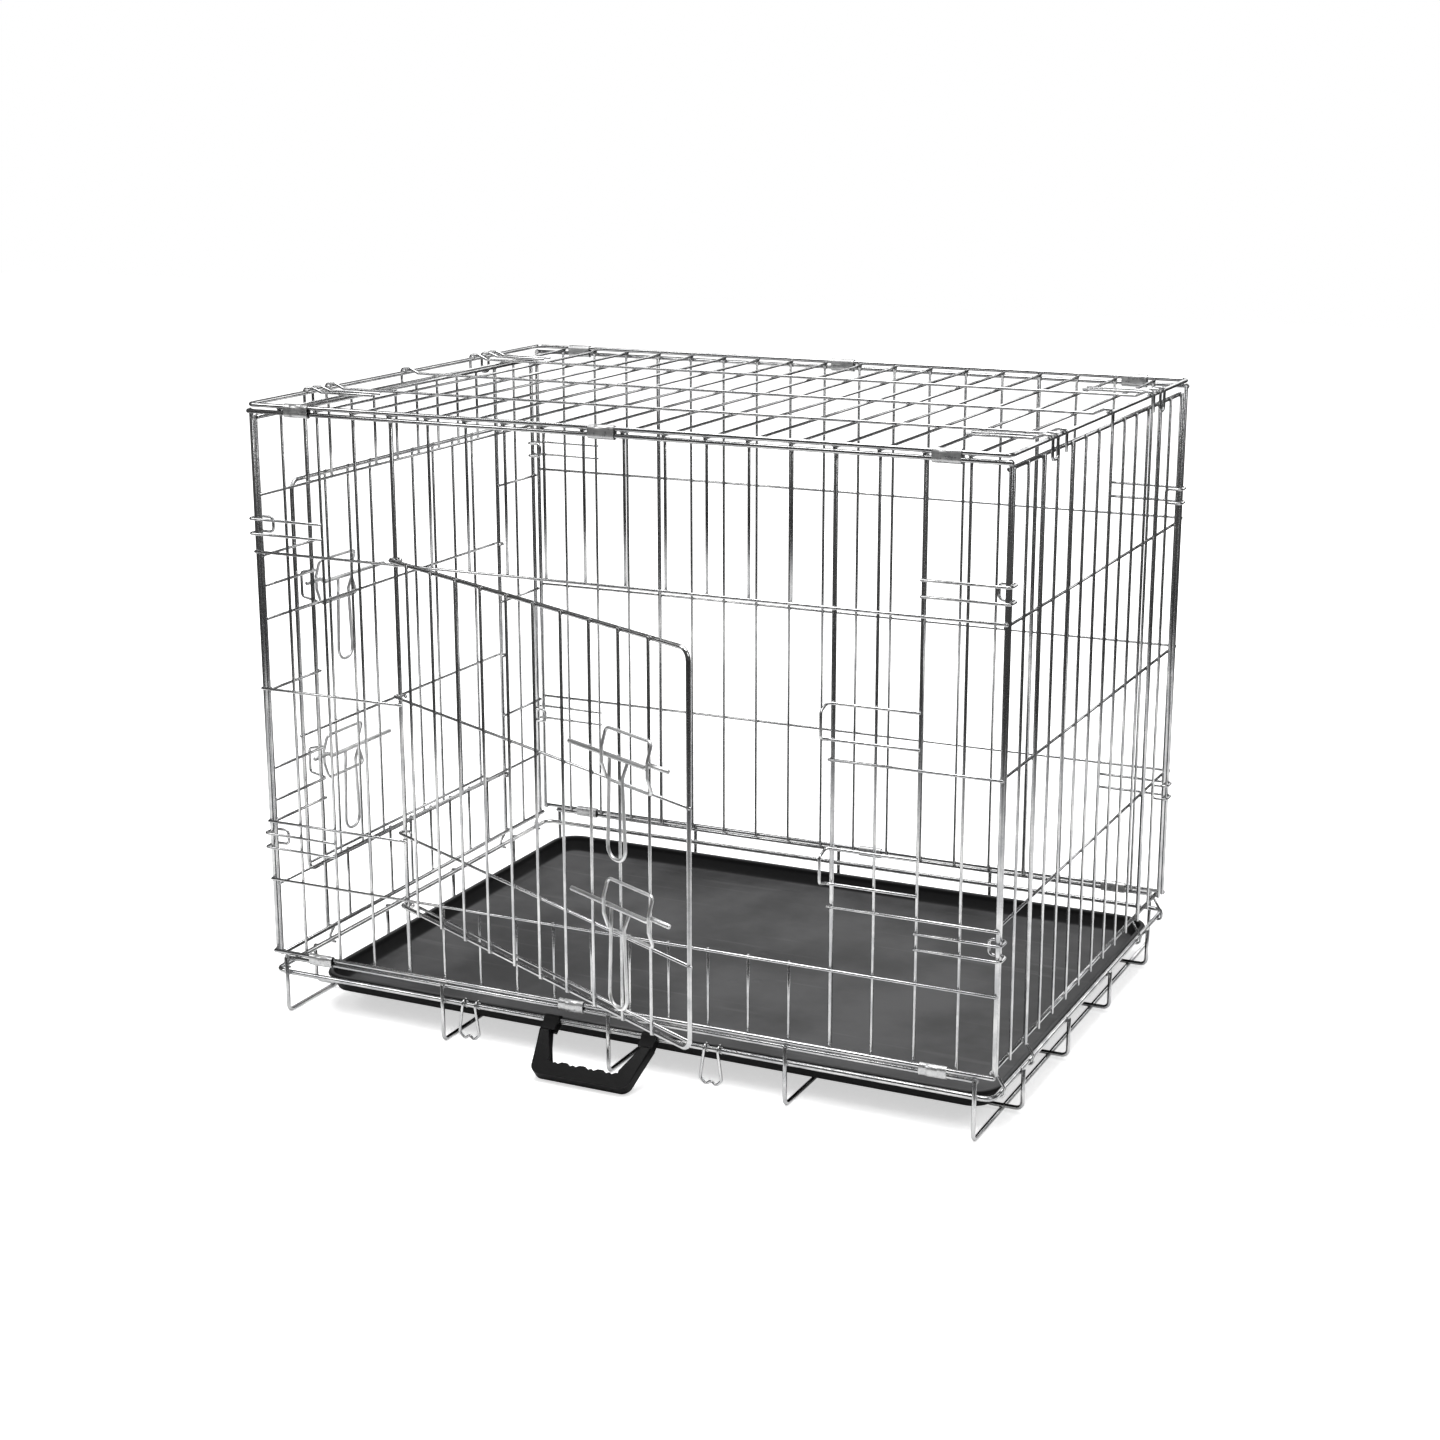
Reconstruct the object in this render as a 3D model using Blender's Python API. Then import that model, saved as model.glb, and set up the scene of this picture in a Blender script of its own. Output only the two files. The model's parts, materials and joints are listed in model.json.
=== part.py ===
"""Folding dog cage: four long wire grids round a base basket, two end grids and a plastic tray.

Metres, +Z up, +X towards the right end, -Y towards the front. The origin is on the floor
under the middle of the cage. The front door stands open, as it is photographed.
"""
from math import asin, atan2, cos, hypot, pi, radians, sin, tan

import bmesh
import bpy
from mathutils import Matrix, Vector

for leftover in list(bpy.data.objects):
    bpy.data.objects.remove(leftover, do_unlink=True)

# Wire sizes, as radii
THIN_R = 0.0014
FRAME_R = 0.0021
RAIL_R = 0.0025
FOOT_R = 0.0020
CATCH_R = 0.0014
GUIDE_R = 0.0015
BOLT_R = 0.0022
GRIP_R = 0.0016
THIN_SIDES = 6
THICK_SIDES = 8

# Two welded wires sink into each other until this share of their radii is left between their centres
WELD = 0.87
# Gap between neighbouring pieces, and the loose fits of moving ones
GAP = 0.0003
LOOSE = 0.0005
EYE_GAP = 0.0004
BOLT_GAP = 0.0004

# Long grids: front, back and top share the layout of their cross wires
LENGTH = 0.7575
DEPTH = 0.5555
CELLS = 19
EDGE_PITCH = 0.0345
PITCH = (LENGTH - 2 * EDGE_PITCH) / (CELLS - 2)
RAIL_SPACING = 0.1355
PANEL_H = 4 * RAIL_SPACING
SILL_UP = 0.0757
OVERRUN = 0.0015
STRIP_OVERRUN = 0.0035
LID_CORNER_R = 0.006
HINGE_JAMB = 4
LOCK_JAMB = 15

# End grids
END_CELLS = 13
END_RAIL_SPACING = 0.134
END_H = 4 * END_RAIL_SPACING
END_LINTEL = 0.461
END_SILL = 0.068
LEFT_END_LOW = 0.0055
END_HINGE_JAMB = 2
END_LOCK_JAMB = 11
LEFT_END_OUT = 0.0025
RIGHT_END_OUT = -0.0012
VERTICAL_FOOT = 0.003

# Heights above the floor
BOTTOM_RAIL_Z = 0.063
UPPER_RAIL_DROP = 0.0055
LOWER_RAIL_DROP = 0.021

# Base basket
SIDE_RAIL_OUT = 0.001
BASE_CORNER_R = 0.010
FOOT_BEND = 0.006
CROSS_FEET = 5
CROSS_FOOT_INSET = 0.01475
LONG_FEET = 4
LONG_FOOT_INSET = 0.07375
# The long floor wires rise, this far in from their feet, to carry the tray at this height
CARRY_RISE_START = 0.032
CARRY_RISE_END = 0.047
CARRY_Z = 0.0162

# Tray
TRAY_LEFT_GAP = 0.03475
TRAY_RIGHT_GAP = 0.0060
TRAY_SIDE_GAP = 0.01925
TRAY_UNDER_RAIL = 0.0045
TRAY_CORNER_R = 0.030
TRAY_WALL = 0.0024
TRAY_TAPER = 0.009
TRAY_LIP = 0.0045
TRAY_RIM = 0.0055
TRAY_RIM_ROUND = 0.0018
TRAY_FILLET = 0.0050

# Front door, seen along its own width from the hinge wire
FRONT_DOOR_OPEN_DEG = 26.5
FRONT_DOOR_FIRST = 0.0318
FRONT_DOOR_LAST = 0.0494
FRONT_DOOR_WIRES = 10
DOOR_OVERLAP = 0.0115
EYE_UP = 0.0040
DOOR_MID_UP = 0.008
DOOR_SILL_DROP = 0.006
DOUBLE_RAIL = 0.0075
DOOR_CORNER_R = 0.010

# End door
END_DOOR_OVERLAP = 0.0215
END_DOOR_MIDS = (0.205, 0.335)

# Slide bolts: distances back from the tip, and heights above the door's own bottom rail
BOLT_LENGTH = 0.1415
BOLT_KINK = 0.004
BOLT_KINK_RUN = 0.026
GUIDE_BACK = 0.0874
GUIDE_WIDTH = 0.064
GUIDE_UP = 0.0235
GUIDE_DOWN = 0.0215
GUIDE_ARCH = 0.007
GRIP_BACK = 0.0820
GRIP_WIDTH = 0.026
GRIP_DROP = 0.088
FRONT_BOLT_Z = (0.1705, 0.3030)
END_BOLT_Z = (0.1680, 0.3520)
BOLT_TIP_GAP = 0.0007
GUIDE_BEND = 0.0045
GRIP_PINCH = 0.0037
GRIP_PINCH_DOWN = 0.0155
GRIP_BEND = 0.0109

# Keepers
KEEPER_HALF = 0.0165
KEEPER_CELLS = 2
KEEPER_UP = 0.0030
KEEPER_NARROWS = 0.004

# Corner and top catches, whose legs lie across this many of a long grid's edge cells
CATCH_CELLS = 2
CATCH_RETURN = 0.0160
CATCH_HALF = 0.0072
CATCH_Z = (0.1150, 0.4313)
TOP_CATCH_Y = 0.170
TOP_CATCH_LEG = 0.079
TOP_CATCH_DROP = 0.022
LONG_HOOK_DROP = 0.020
LONG_HOOK_BEND = 0.004
CATCH_BEND = 0.0040
CATCH_STEPS = 3
# Both climb to this height over the middle of the end wire, between these distances from it
OVER_END = 0.00395
CLIMB_START = 0.014
CLIMB_END = 0.004

# Hinge clips
CLIP_LENGTH = 0.026
CLIP_SHEET = 0.0008
CLIP_BUMP = 0.0010
CLIP_RAISED = 0.38
BOTTOM_FRONT_CLIPS = (1, 8, 17)
BOTTOM_BACK_CLIPS = (1, 10, 17)
TOP_CLIPS = (1, 9, 17)

# End hooks
HOOK_INSET = 0.0075
HOOK_STRAIGHT = 0.003

# Carry handle
HANDLE_X = -0.009
HANDLE_TOP_HALF = 0.060
HANDLE_BOTTOM_HALF = 0.050
HANDLE_REACH = 0.060
HANDLE_ARM = 0.0120
HANDLE_GRIP = 0.0125
HANDLE_THICK = 0.0110
HANDLE_WAVES = 4
HANDLE_WAVE = 0.0040
HANDLE_START = 0.0125
HANDLE_CORNER_R = 0.010
LOOP_WALL = 0.0024
LOOP_WIDTH = 0.0150
LOOP_INSET = 0.008

# Fold clips
LEFT_FOLD_CLIP_PAST = 0.030
RIGHT_FOLD_CLIP_SHORT = 0.0745
FOLD_CLIP_HALF = 0.007
FOLD_CLIP_FLARE = 0.011
FOLD_CLIP_DROP = 0.034
FOLD_CLIP_TOE = 0.006
FOLD_CLIP_FOOT = 0.005
FOLD_CLIP_MIDDLE = 0.005
FOLD_CLIP_BEND = 0.003

# Layers of a grid: rails outside, uprights inside, measured inwards from the rails
UPRIGHT_IN = (FRAME_R + THIN_R) * WELD
THICK_IN = 2 * FRAME_R * WELD
MID_IN = UPRIGHT_IN - 2 * THIN_R * WELD

LOWER_RAIL_Z = BOTTOM_RAIL_Z - LOWER_RAIL_DROP
UPPER_RAIL_Z = BOTTOM_RAIL_Z - UPPER_RAIL_DROP
TOP_RAIL_Z = BOTTOM_RAIL_Z + PANEL_H
TOP_STACK = FRAME_R + UPRIGHT_IN + THIN_R + GAP
LID_Z = TOP_RAIL_Z + TOP_STACK
SIDE_RAIL_X = LENGTH / 2 + SIDE_RAIL_OUT
FOOT_OUT = (RAIL_R + FOOT_R) * WELD
UPPER_RAIL_OUT = FOOT_OUT - (FRAME_R + FOOT_R) * WELD

# Layers of a door, measured outwards from the hinge wire's centre
DOOR_RAIL_W = FRAME_R + EYE_GAP + FRAME_R
DOOR_UPRIGHT_W = DOOR_RAIL_W + (FRAME_R + THIN_R) * WELD
DOOR_MID_W = DOOR_UPRIGHT_W - 2 * THIN_R * WELD
BAR_W = DOOR_UPRIGHT_W + THIN_R + GAP + GUIDE_R
BOLT_W = DOOR_UPRIGHT_W + THIN_R + BOLT_GAP + BOLT_R
ARCH_W = BOLT_W + BOLT_R + LOOSE + GUIDE_R
GRIP_W = BAR_W + GUIDE_R + GAP + GRIP_R + LOOSE

CATCH_OUT = CATCH_R + GAP + FRAME_R - THICK_IN

# The end grids pass the front door's eyes when they fold in
END_WIDTH = DEPTH - 2 * (THICK_IN + DOOR_RAIL_W + FRAME_R + LOOSE + FRAME_R)
END_PITCH = END_WIDTH / END_CELLS
CATCH_REACH = (DEPTH - END_WIDTH) / 2 + FRAME_R + LOOSE + CATCH_R
CATCH_START = LENGTH / 2 - EDGE_PITCH - (CATCH_CELLS - 1) * PITCH - OVERRUN

# How far past the grids' end wires the catches go, to clear the end grids' outer wires
LEFT_CATCH_X = LEFT_END_OUT + FRAME_R + LOOSE + CATCH_R
RIGHT_CATCH_X = max(RIGHT_END_OUT, 0.0) + FRAME_R + LOOSE + CATCH_R

# The floor wires stand evenly spaced
CROSS_FEET_X = [(LENGTH / 2 - CROSS_FOOT_INSET) * (2 * k / (CROSS_FEET - 1) - 1) for k in range(CROSS_FEET)]
LONG_FEET_Y = [(DEPTH / 2 - LONG_FOOT_INSET) * (2 * k / (LONG_FEET - 1) - 1) for k in range(LONG_FEET)]

ZINC = (0.62, 0.63, 0.65, 1.0)
CLIP_ZINC = (0.70, 0.71, 0.72, 1.0)
BLACK = (0.018, 0.018, 0.019, 1.0)


# Helpers for paths and solids

def material(name, colour, roughness, metallic):
    mat = bpy.data.materials.new(name)
    mat.use_nodes = True
    shader = mat.node_tree.nodes["Principled BSDF"]
    shader.inputs["Base Color"].default_value = colour
    shader.inputs["Roughness"].default_value = roughness
    shader.inputs["Metallic"].default_value = metallic
    mat.diffuse_color = colour
    return mat


def wire_finish(name):
    return material(name + "_zinc", ZINC, 0.28, 1.0)


def rounded(points, radius, steps=3, closed=False):
    """The path through points, with each corner bent to an arc."""
    points = [Vector(p) for p in points]
    count = len(points)
    path = []
    for i, here in enumerate(points):
        if not closed and i in (0, count - 1):
            path.append(here)
            continue
        before = points[i - 1] - here
        after = points[(i + 1) % count] - here
        turn = pi - before.angle(after)
        if turn < 1e-4:
            path.append(here)
            continue
        set_back = min(radius * tan(turn / 2), before.length * 0.49, after.length * 0.49)
        bend = set_back / tan(turn / 2)
        start = here + before.normalized() * set_back
        middle = here + (before.normalized() + after.normalized()).normalized() * hypot(set_back, bend)
        first = start - middle
        axis = before.cross(after).normalized()
        for k in range(steps + 1):
            path.append(middle + Matrix.Rotation(-turn * k / steps, 3, axis) @ first)
    return path


def tube(bm, points, radius, sides, up, closed=False, flat=False):
    """Sweep a regular polygon along points, a corner of it towards up, or a flat side there."""
    points = [Vector(p) for p in points]
    count = len(points)
    last = count if closed else count - 1
    runs = [(points[(i + 1) % count] - points[i]).normalized() for i in range(last)]
    side = Vector(up) - Vector(up).dot(runs[0]) * runs[0]
    side.normalize()
    shift = pi / sides if flat else 0.0
    sections = []
    for i, run in enumerate(runs):
        if i:
            side = runs[i - 1].rotation_difference(run) @ side
            side = (side - side.dot(run) * run).normalized()
        other = run.cross(side)
        turns = [2 * pi * k / sides + shift for k in range(sides)]
        sections.append([radius * (cos(t) * side + sin(t) * other) for t in turns])
    rings = []
    for i in range(count):
        if closed:
            ahead, behind = i, i - 1
        else:
            ahead, behind = min(i, last - 1), max(i - 1, 0)
        normal = (runs[ahead] + runs[behind]).normalized()
        ring = []
        for offset in sections[ahead]:
            slid = offset - runs[ahead] * (offset.dot(normal) / runs[ahead].dot(normal))
            ring.append(bm.verts.new(points[i] + slid))
        rings.append(ring)
    for i in range(last):
        near, far = rings[i], rings[(i + 1) % count]
        for k in range(sides):
            n = (k + 1) % sides
            bm.faces.new((near[k], near[n], far[n], far[k]))
    if not closed:
        bm.faces.new(list(reversed(rings[0])))
        bm.faces.new(rings[-1])


def solid(name, bm, mat=None, at=(0, 0, 0), turn=None, parent=None):
    """One object from a finished bmesh."""
    bmesh.ops.recalc_face_normals(bm, faces=bm.faces)
    mesh = bpy.data.meshes.new(name)
    bm.to_mesh(mesh)
    bm.free()
    obj = bpy.data.objects.new(name, mesh)
    bpy.context.scene.collection.objects.link(obj)
    obj.location = at
    if turn:
        obj.rotation_euler = turn
    if parent:
        obj.parent = parent
    if mat:
        mesh.materials.append(mat)
        mesh.shade_smooth()
        mesh.set_sharp_from_angle(angle=radians(65))
    return obj


def weld(obj, *others):
    """Join the wires of others to obj at their crossings."""
    for number, other in enumerate(others):
        other.hide_render = True
        other.display_type = "WIRE"
        other.parent = obj
        join = obj.modifiers.new("weld_%d" % number, "BOOLEAN")
        join.operation = "UNION"
        join.solver = "EXACT"
        join.object = other


def thin(bm, points, up, **options):
    tube(bm, points, THIN_R, THIN_SIDES, up, **options)


def thick(bm, points, up, radius=FRAME_R, **options):
    tube(bm, points, radius, THICK_SIDES, up, **options)


def column_x(index):
    """Where an upright of a long grid stands, counted from its left edge."""
    if index == 0:
        return -LENGTH / 2
    if index == CELLS:
        return LENGTH / 2
    return -LENGTH / 2 + EDGE_PITCH + (index - 1) * PITCH


def end_column(index):
    return -END_WIDTH / 2 + index * END_PITCH


OUTWARD = (0, -1, 0)


def straight(bm, start, end, radius=THIN_R):
    if radius == THIN_R:
        thin(bm, (start, end), OUTWARD)
    else:
        thick(bm, (start, end), OUTWARD, radius)


# Long grids, each drawn standing with its outer face towards -Y

def long_grid(name, heights, has_door, at, turn):
    """Heights are those of the thin rails between the top and the bottom rail."""
    half = LENGTH / 2 + FRAME_R
    rails = bmesh.new()
    for z in (0.0, PANEL_H):
        straight(rails, (-half, 0, z), (half, 0, z), FRAME_R)
    for z in heights:
        strip = has_door and z in (RAIL_SPACING, 2 * RAIL_SPACING)
        if strip:
            left = column_x(HINGE_JAMB) + STRIP_OVERRUN
            right = column_x(LOCK_JAMB) - STRIP_OVERRUN
            straight(rails, (-half, MID_IN, z), (left, MID_IN, z))
            straight(rails, (right, MID_IN, z), (half, MID_IN, z))
        else:
            straight(rails, (-half, MID_IN, z), (half, MID_IN, z))
    uprights = bmesh.new()
    low, high = -OVERRUN, PANEL_H + OVERRUN
    for index in range(CELLS + 1):
        x = column_x(index)
        if index in (0, HINGE_JAMB, LOCK_JAMB, CELLS):
            straight(uprights, (x, THICK_IN, low), (x, THICK_IN, high), FRAME_R)
        elif has_door and HINGE_JAMB < index < LOCK_JAMB:
            straight(uprights, (x, UPRIGHT_IN, low), (x, UPRIGHT_IN, SILL_UP + OVERRUN))
            straight(uprights, (x, UPRIGHT_IN, 3 * RAIL_SPACING - OVERRUN), (x, UPRIGHT_IN, high))
        else:
            straight(uprights, (x, UPRIGHT_IN, low), (x, UPRIGHT_IN, high))
    grid = solid(name, rails, wire_finish(name), at, turn)
    weld(grid, solid(name + "_uprights", uprights))
    return grid


long_grid("front_panel", (SILL_UP, RAIL_SPACING, 2 * RAIL_SPACING, 3 * RAIL_SPACING), True,
          (0, -DEPTH / 2, BOTTOM_RAIL_Z), (0, 0, 0))
long_grid("back_panel", (RAIL_SPACING, 2 * RAIL_SPACING, 3 * RAIL_SPACING), False,
          (0, DEPTH / 2, BOTTOM_RAIL_Z), (0, 0, pi))


# Top grid: a bent frame, cross wires under it, three long wires whose ends hook down over the ends

def over_the_end(reach, run_z, drop):
    """Points of a wire that climbs over the end wire and turns down outside the end grid."""
    return (
        (LENGTH / 2 - CLIMB_START, run_z),
        (LENGTH / 2 - CLIMB_END, OVER_END),
        (LENGTH / 2 + reach, OVER_END),
        (LENGTH / 2 + reach, OVER_END - drop),
    )


lid_frame = bmesh.new()
lid_corners = [(-LENGTH / 2, -DEPTH / 2, 0), (LENGTH / 2, -DEPTH / 2, 0),
               (LENGTH / 2, DEPTH / 2, 0), (-LENGTH / 2, DEPTH / 2, 0)]
thick(lid_frame, rounded(lid_corners, LID_CORNER_R, 2, closed=True), (0, 0, 1), closed=True)
lid_cross = bmesh.new()
for index in range(1, CELLS):
    x = column_x(index)
    edge = DEPTH / 2 + OVERRUN
    thin(lid_cross, ((x, -edge, -UPRIGHT_IN), (x, edge, -UPRIGHT_IN)), (0, 0, 1))
lid_long = bmesh.new()
for quarter in (-1, 0, 1):
    y = quarter * DEPTH / 4
    right = [(x, y, z) for x, z in over_the_end(RIGHT_CATCH_X, -MID_IN, LONG_HOOK_DROP)]
    left = [(-x, y, z) for x, z in reversed(over_the_end(LEFT_CATCH_X, -MID_IN, LONG_HOOK_DROP))]
    thin(lid_long, rounded(left + right, LONG_HOOK_BEND, 2), (0, 1, 0))
lid = solid("top_panel", lid_frame, wire_finish("top_panel"), (0, 0, LID_Z))
weld(lid, solid("top_panel_cross", lid_cross), solid("top_panel_long", lid_long))


# Base basket: a lower rail all round, two upper rails, and floor wires that come down as feet

FLOOR_Z = FOOT_R * cos(pi / THICK_SIDES)
LONG_FLOOR_Z = FLOOR_Z + 2 * FOOT_R * WELD

base_rails = bmesh.new()
base_corners = [(-SIDE_RAIL_X, -DEPTH / 2, LOWER_RAIL_Z), (SIDE_RAIL_X, -DEPTH / 2, LOWER_RAIL_Z),
                (SIDE_RAIL_X, DEPTH / 2, LOWER_RAIL_Z), (-SIDE_RAIL_X, DEPTH / 2, LOWER_RAIL_Z)]
thick(base_rails, rounded(base_corners, BASE_CORNER_R, 4, closed=True), (0, 0, 1), RAIL_R, closed=True)
rail_half = max(CROSS_FEET_X) + FOOT_R
for side_y in (-1, 1):
    y = side_y * (DEPTH / 2 + UPPER_RAIL_OUT)
    thick(base_rails, ((-rail_half, y, UPPER_RAIL_Z), (rail_half, y, UPPER_RAIL_Z)), (0, 0, 1))
base_cross = bmesh.new()
foot_y = DEPTH / 2 + FOOT_OUT
foot_top = UPPER_RAIL_Z + FOOT_R
for x in CROSS_FEET_X:
    path = ((x, -foot_y, foot_top), (x, -foot_y, FLOOR_Z), (x, foot_y, FLOOR_Z), (x, foot_y, foot_top))
    tube(base_cross, rounded(path, FOOT_BEND, 2), FOOT_R, THICK_SIDES, (1, 0, 0), flat=True)
base_long = bmesh.new()
foot_x = SIDE_RAIL_X + FOOT_OUT
for y in LONG_FEET_Y:
    half_path = [(foot_x - CARRY_RISE_END, y, CARRY_Z), (foot_x - CARRY_RISE_START, y, LONG_FLOOR_Z),
                 (foot_x, y, LONG_FLOOR_Z), (foot_x, y, LOWER_RAIL_Z + FOOT_R)]
    path = [(-px, py, pz) for px, py, pz in reversed(half_path)] + half_path
    tube(base_long, rounded(path, FOOT_BEND, 2), FOOT_R, THICK_SIDES, (0, 1, 0))
base = solid("base_frame", base_rails, wire_finish("base_frame"))
weld(base, solid("base_frame_cross", base_cross), solid("base_frame_long", base_long))


# Tray: a pan with tapered walls and a rolled rim, on the floor wires

def rounded_rectangle(bm, x0, x1, half, corner, z, steps=4):
    ring = []
    for cx, cy, start in ((x1 - corner, half - corner, 0), (x0 + corner, half - corner, 90),
                          (x0 + corner, corner - half, 180), (x1 - corner, corner - half, 270)):
        for k in range(steps + 1):
            turn = radians(start + 90 * k / steps)
            ring.append(bm.verts.new((cx + corner * cos(turn), cy + corner * sin(turn), z)))
    return ring


TRAY_LEFT = TRAY_LEFT_GAP - SIDE_RAIL_X
TRAY_RIGHT = SIDE_RAIL_X - TRAY_RIGHT_GAP
TRAY_HALF_DEPTH = DEPTH / 2 - TRAY_SIDE_GAP
TRAY_RIM_Z = LOWER_RAIL_Z - TRAY_UNDER_RAIL
TRAY_Z = CARRY_Z + FOOT_R + GAP
tray_height = TRAY_RIM_Z - TRAY_Z
inner = TRAY_LIP + TRAY_WALL
rim_foot = tray_height - TRAY_RIM
tray_profile = (
    (TRAY_TAPER, 0.0),
    (TRAY_LIP, rim_foot),
    (TRAY_LIP / 6, rim_foot + TRAY_RIM_ROUND / 4),
    (0.0, rim_foot + TRAY_RIM_ROUND),
    (TRAY_RIM_ROUND, tray_height),
    (inner - TRAY_RIM_ROUND, tray_height),
    (inner, tray_height - TRAY_RIM_ROUND),
    (TRAY_TAPER + TRAY_WALL + TRAY_FILLET / 3, TRAY_WALL + TRAY_FILLET * 0.6),
    (TRAY_TAPER + TRAY_WALL + TRAY_FILLET, TRAY_WALL),
)
tray_bm = bmesh.new()
rings = []
tray_middle = (TRAY_LEFT + TRAY_RIGHT) / 2
tray_half = (TRAY_RIGHT - TRAY_LEFT) / 2
for inset, z in tray_profile:
    rings.append(rounded_rectangle(tray_bm, inset - tray_half, tray_half - inset, TRAY_HALF_DEPTH - inset,
                                   TRAY_CORNER_R - inset, z))
for low_ring, high_ring in zip(rings, rings[1:]):
    for k in range(len(low_ring)):
        n = (k + 1) % len(low_ring)
        tray_bm.faces.new((low_ring[k], low_ring[n], high_ring[n], high_ring[k]))
tray_bm.faces.new(list(reversed(rings[0])))
tray_bm.faces.new(rings[-1])
solid("tray", tray_bm, material("tray_plastic", BLACK, 0.45, 0.0), (tray_middle, 0, TRAY_Z))


# End grids: rails inside, uprights outside, hooks that turn on the base's side rail

LEFT_RAIL_BACK = SIDE_RAIL_OUT - LEFT_END_OUT + THICK_IN
RIGHT_RAIL_BACK = SIDE_RAIL_OUT - RIGHT_END_OUT + THICK_IN
BOTTOM_UP = BOTTOM_RAIL_Z - LOWER_RAIL_Z
HOOK_RING = RAIL_R + LOOSE + THIN_R


def end_hook(bm, a, rail_y, rail_up):
    """From the bottom rail down, round the outside of the side rail and under it."""
    path = [(a, rail_y, rail_up), (a, -HOOK_RING, HOOK_STRAIGHT)]
    for turn in (0, 30, 60, 90, 120):
        path.append((a, -HOOK_RING * cos(radians(turn)), -HOOK_RING * sin(radians(turn))))
    thin(bm, path, (1, 0, 0))


def end_grid(name, full_rails, strips, has_door, rail_y, low_by, at, turn):
    """Drawn standing, outer face towards -Y, with its origin on the side rail it turns on."""
    upright_y = rail_y - UPRIGHT_IN
    thick_y = rail_y - THICK_IN
    mid_y = rail_y - MID_IN
    half = END_WIDTH / 2 + FRAME_R
    rails = bmesh.new()
    for z in (-low_by, END_H):
        straight(rails, (-half, rail_y, BOTTOM_UP + z), (half, rail_y, BOTTOM_UP + z), FRAME_R)
    for z in full_rails:
        straight(rails, (-half, mid_y, BOTTOM_UP + z), (half, mid_y, BOTTOM_UP + z))
    for z in strips:
        left = end_column(END_HINGE_JAMB) + STRIP_OVERRUN
        right = end_column(END_LOCK_JAMB) - STRIP_OVERRUN
        straight(rails, (-half, mid_y, BOTTOM_UP + z), (left, mid_y, BOTTOM_UP + z))
        straight(rails, (right, mid_y, BOTTOM_UP + z), (half, mid_y, BOTTOM_UP + z))
    uprights = bmesh.new()
    low, high = BOTTOM_UP - low_by - VERTICAL_FOOT, BOTTOM_UP + END_H + OVERRUN
    for index in range(END_CELLS + 1):
        a = end_column(index)
        if index in (0, END_HINGE_JAMB, END_LOCK_JAMB, END_CELLS):
            straight(uprights, (a, thick_y, low), (a, thick_y, high), FRAME_R)
        elif has_door and END_HINGE_JAMB < index < END_LOCK_JAMB:
            straight(uprights, (a, upright_y, low), (a, upright_y, BOTTOM_UP + END_SILL + OVERRUN))
            straight(uprights, (a, upright_y, BOTTOM_UP + END_LINTEL - OVERRUN), (a, upright_y, high))
        else:
            straight(uprights, (a, upright_y, low), (a, upright_y, high))
    hooks = bmesh.new()
    outer = END_WIDTH / 2 - HOOK_INSET
    inner_hook = end_column(END_HINGE_JAMB) + HOOK_INSET
    for a in (-outer, inner_hook, -inner_hook, outer):
        end_hook(hooks, a, rail_y, BOTTOM_UP - low_by)
    grid = solid(name, rails, wire_finish(name), at, turn)
    weld(grid, solid(name + "_uprights", uprights), solid(name + "_hooks", hooks))
    return grid


RIGHT_TURN = (0, 0, pi / 2)
LEFT_TURN = (0, 0, -pi / 2)
quarters = [END_RAIL_SPACING * k for k in (1, 2, 3)]
end_grid("right_end_panel", quarters, (), False, RIGHT_RAIL_BACK, 0.0,
         (SIDE_RAIL_X, 0, LOWER_RAIL_Z), RIGHT_TURN)
left_end = end_grid("left_end_panel", (END_SILL, END_LINTEL), quarters, True, LEFT_RAIL_BACK, LEFT_END_LOW,
                    (-SIDE_RAIL_X, 0, LOWER_RAIL_Z), LEFT_TURN)


# Catches: bent wires on the long grids and the top grid that hold the end grids upright

def catch(name, legs_at, path, up, at, turn=(0, 0, 0)):
    """A closed-end loop: path runs out along one leg, and the other leg mirrors it."""
    out = [Vector(p) + Vector(legs_at) for p in path]
    back = [Vector(p) - Vector(legs_at) for p in reversed(path)]
    bm = bmesh.new()
    tube(bm, rounded(out + back, CATCH_BEND, CATCH_STEPS), CATCH_R, THIN_SIDES, up)
    return solid(name, bm, wire_finish(name), at, turn)


for face, turn, y in (("front", 0.0, -DEPTH / 2), ("back", pi, DEPTH / 2)):
    for side_name, side, past in (("left", -1, LEFT_CATCH_X), ("right", 1, RIGHT_CATCH_X)):
        for level, z in zip(("lower", "upper"), CATCH_Z):
            local = side if face == "front" else -side
            end = LENGTH / 2 + past
            bent = [(local * CATCH_START, -CATCH_OUT, 0), (local * end, -CATCH_OUT, 0),
                    (local * end, CATCH_REACH, 0), (local * (end - CATCH_RETURN), CATCH_REACH, 0)]
            catch("%s_%s_%s_catch" % (face, side_name, level), (0, 0, CATCH_HALF), bent, (0, 0, 1),
                  (0, y, BOTTOM_RAIL_Z + z), (0, 0, turn))

for side_name, side, past in (("left", -1, LEFT_CATCH_X), ("right", 1, RIGHT_CATCH_X)):
    for face, y in (("front", -TOP_CATCH_Y), ("back", TOP_CATCH_Y)):
        rest = CATCH_R + GAP - UPRIGHT_IN + THIN_R
        shape = over_the_end(past, rest, TOP_CATCH_DROP)
        lift = FRAME_R + GAP + CATCH_R - OVER_END
        bent = [(side * (LENGTH / 2 + past - TOP_CATCH_LEG), 0, rest)]
        bent += [(side * x, 0, z if z <= rest else z + lift) for x, z in shape]
        catch("%s_%s_top_catch" % (side_name, face), (0, CATCH_HALF, 0), bent, (0, 1, 0), (0, y, LID_Z))


# Hinge clips: sheet metal sleeves round each pair of neighbouring rails

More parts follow.
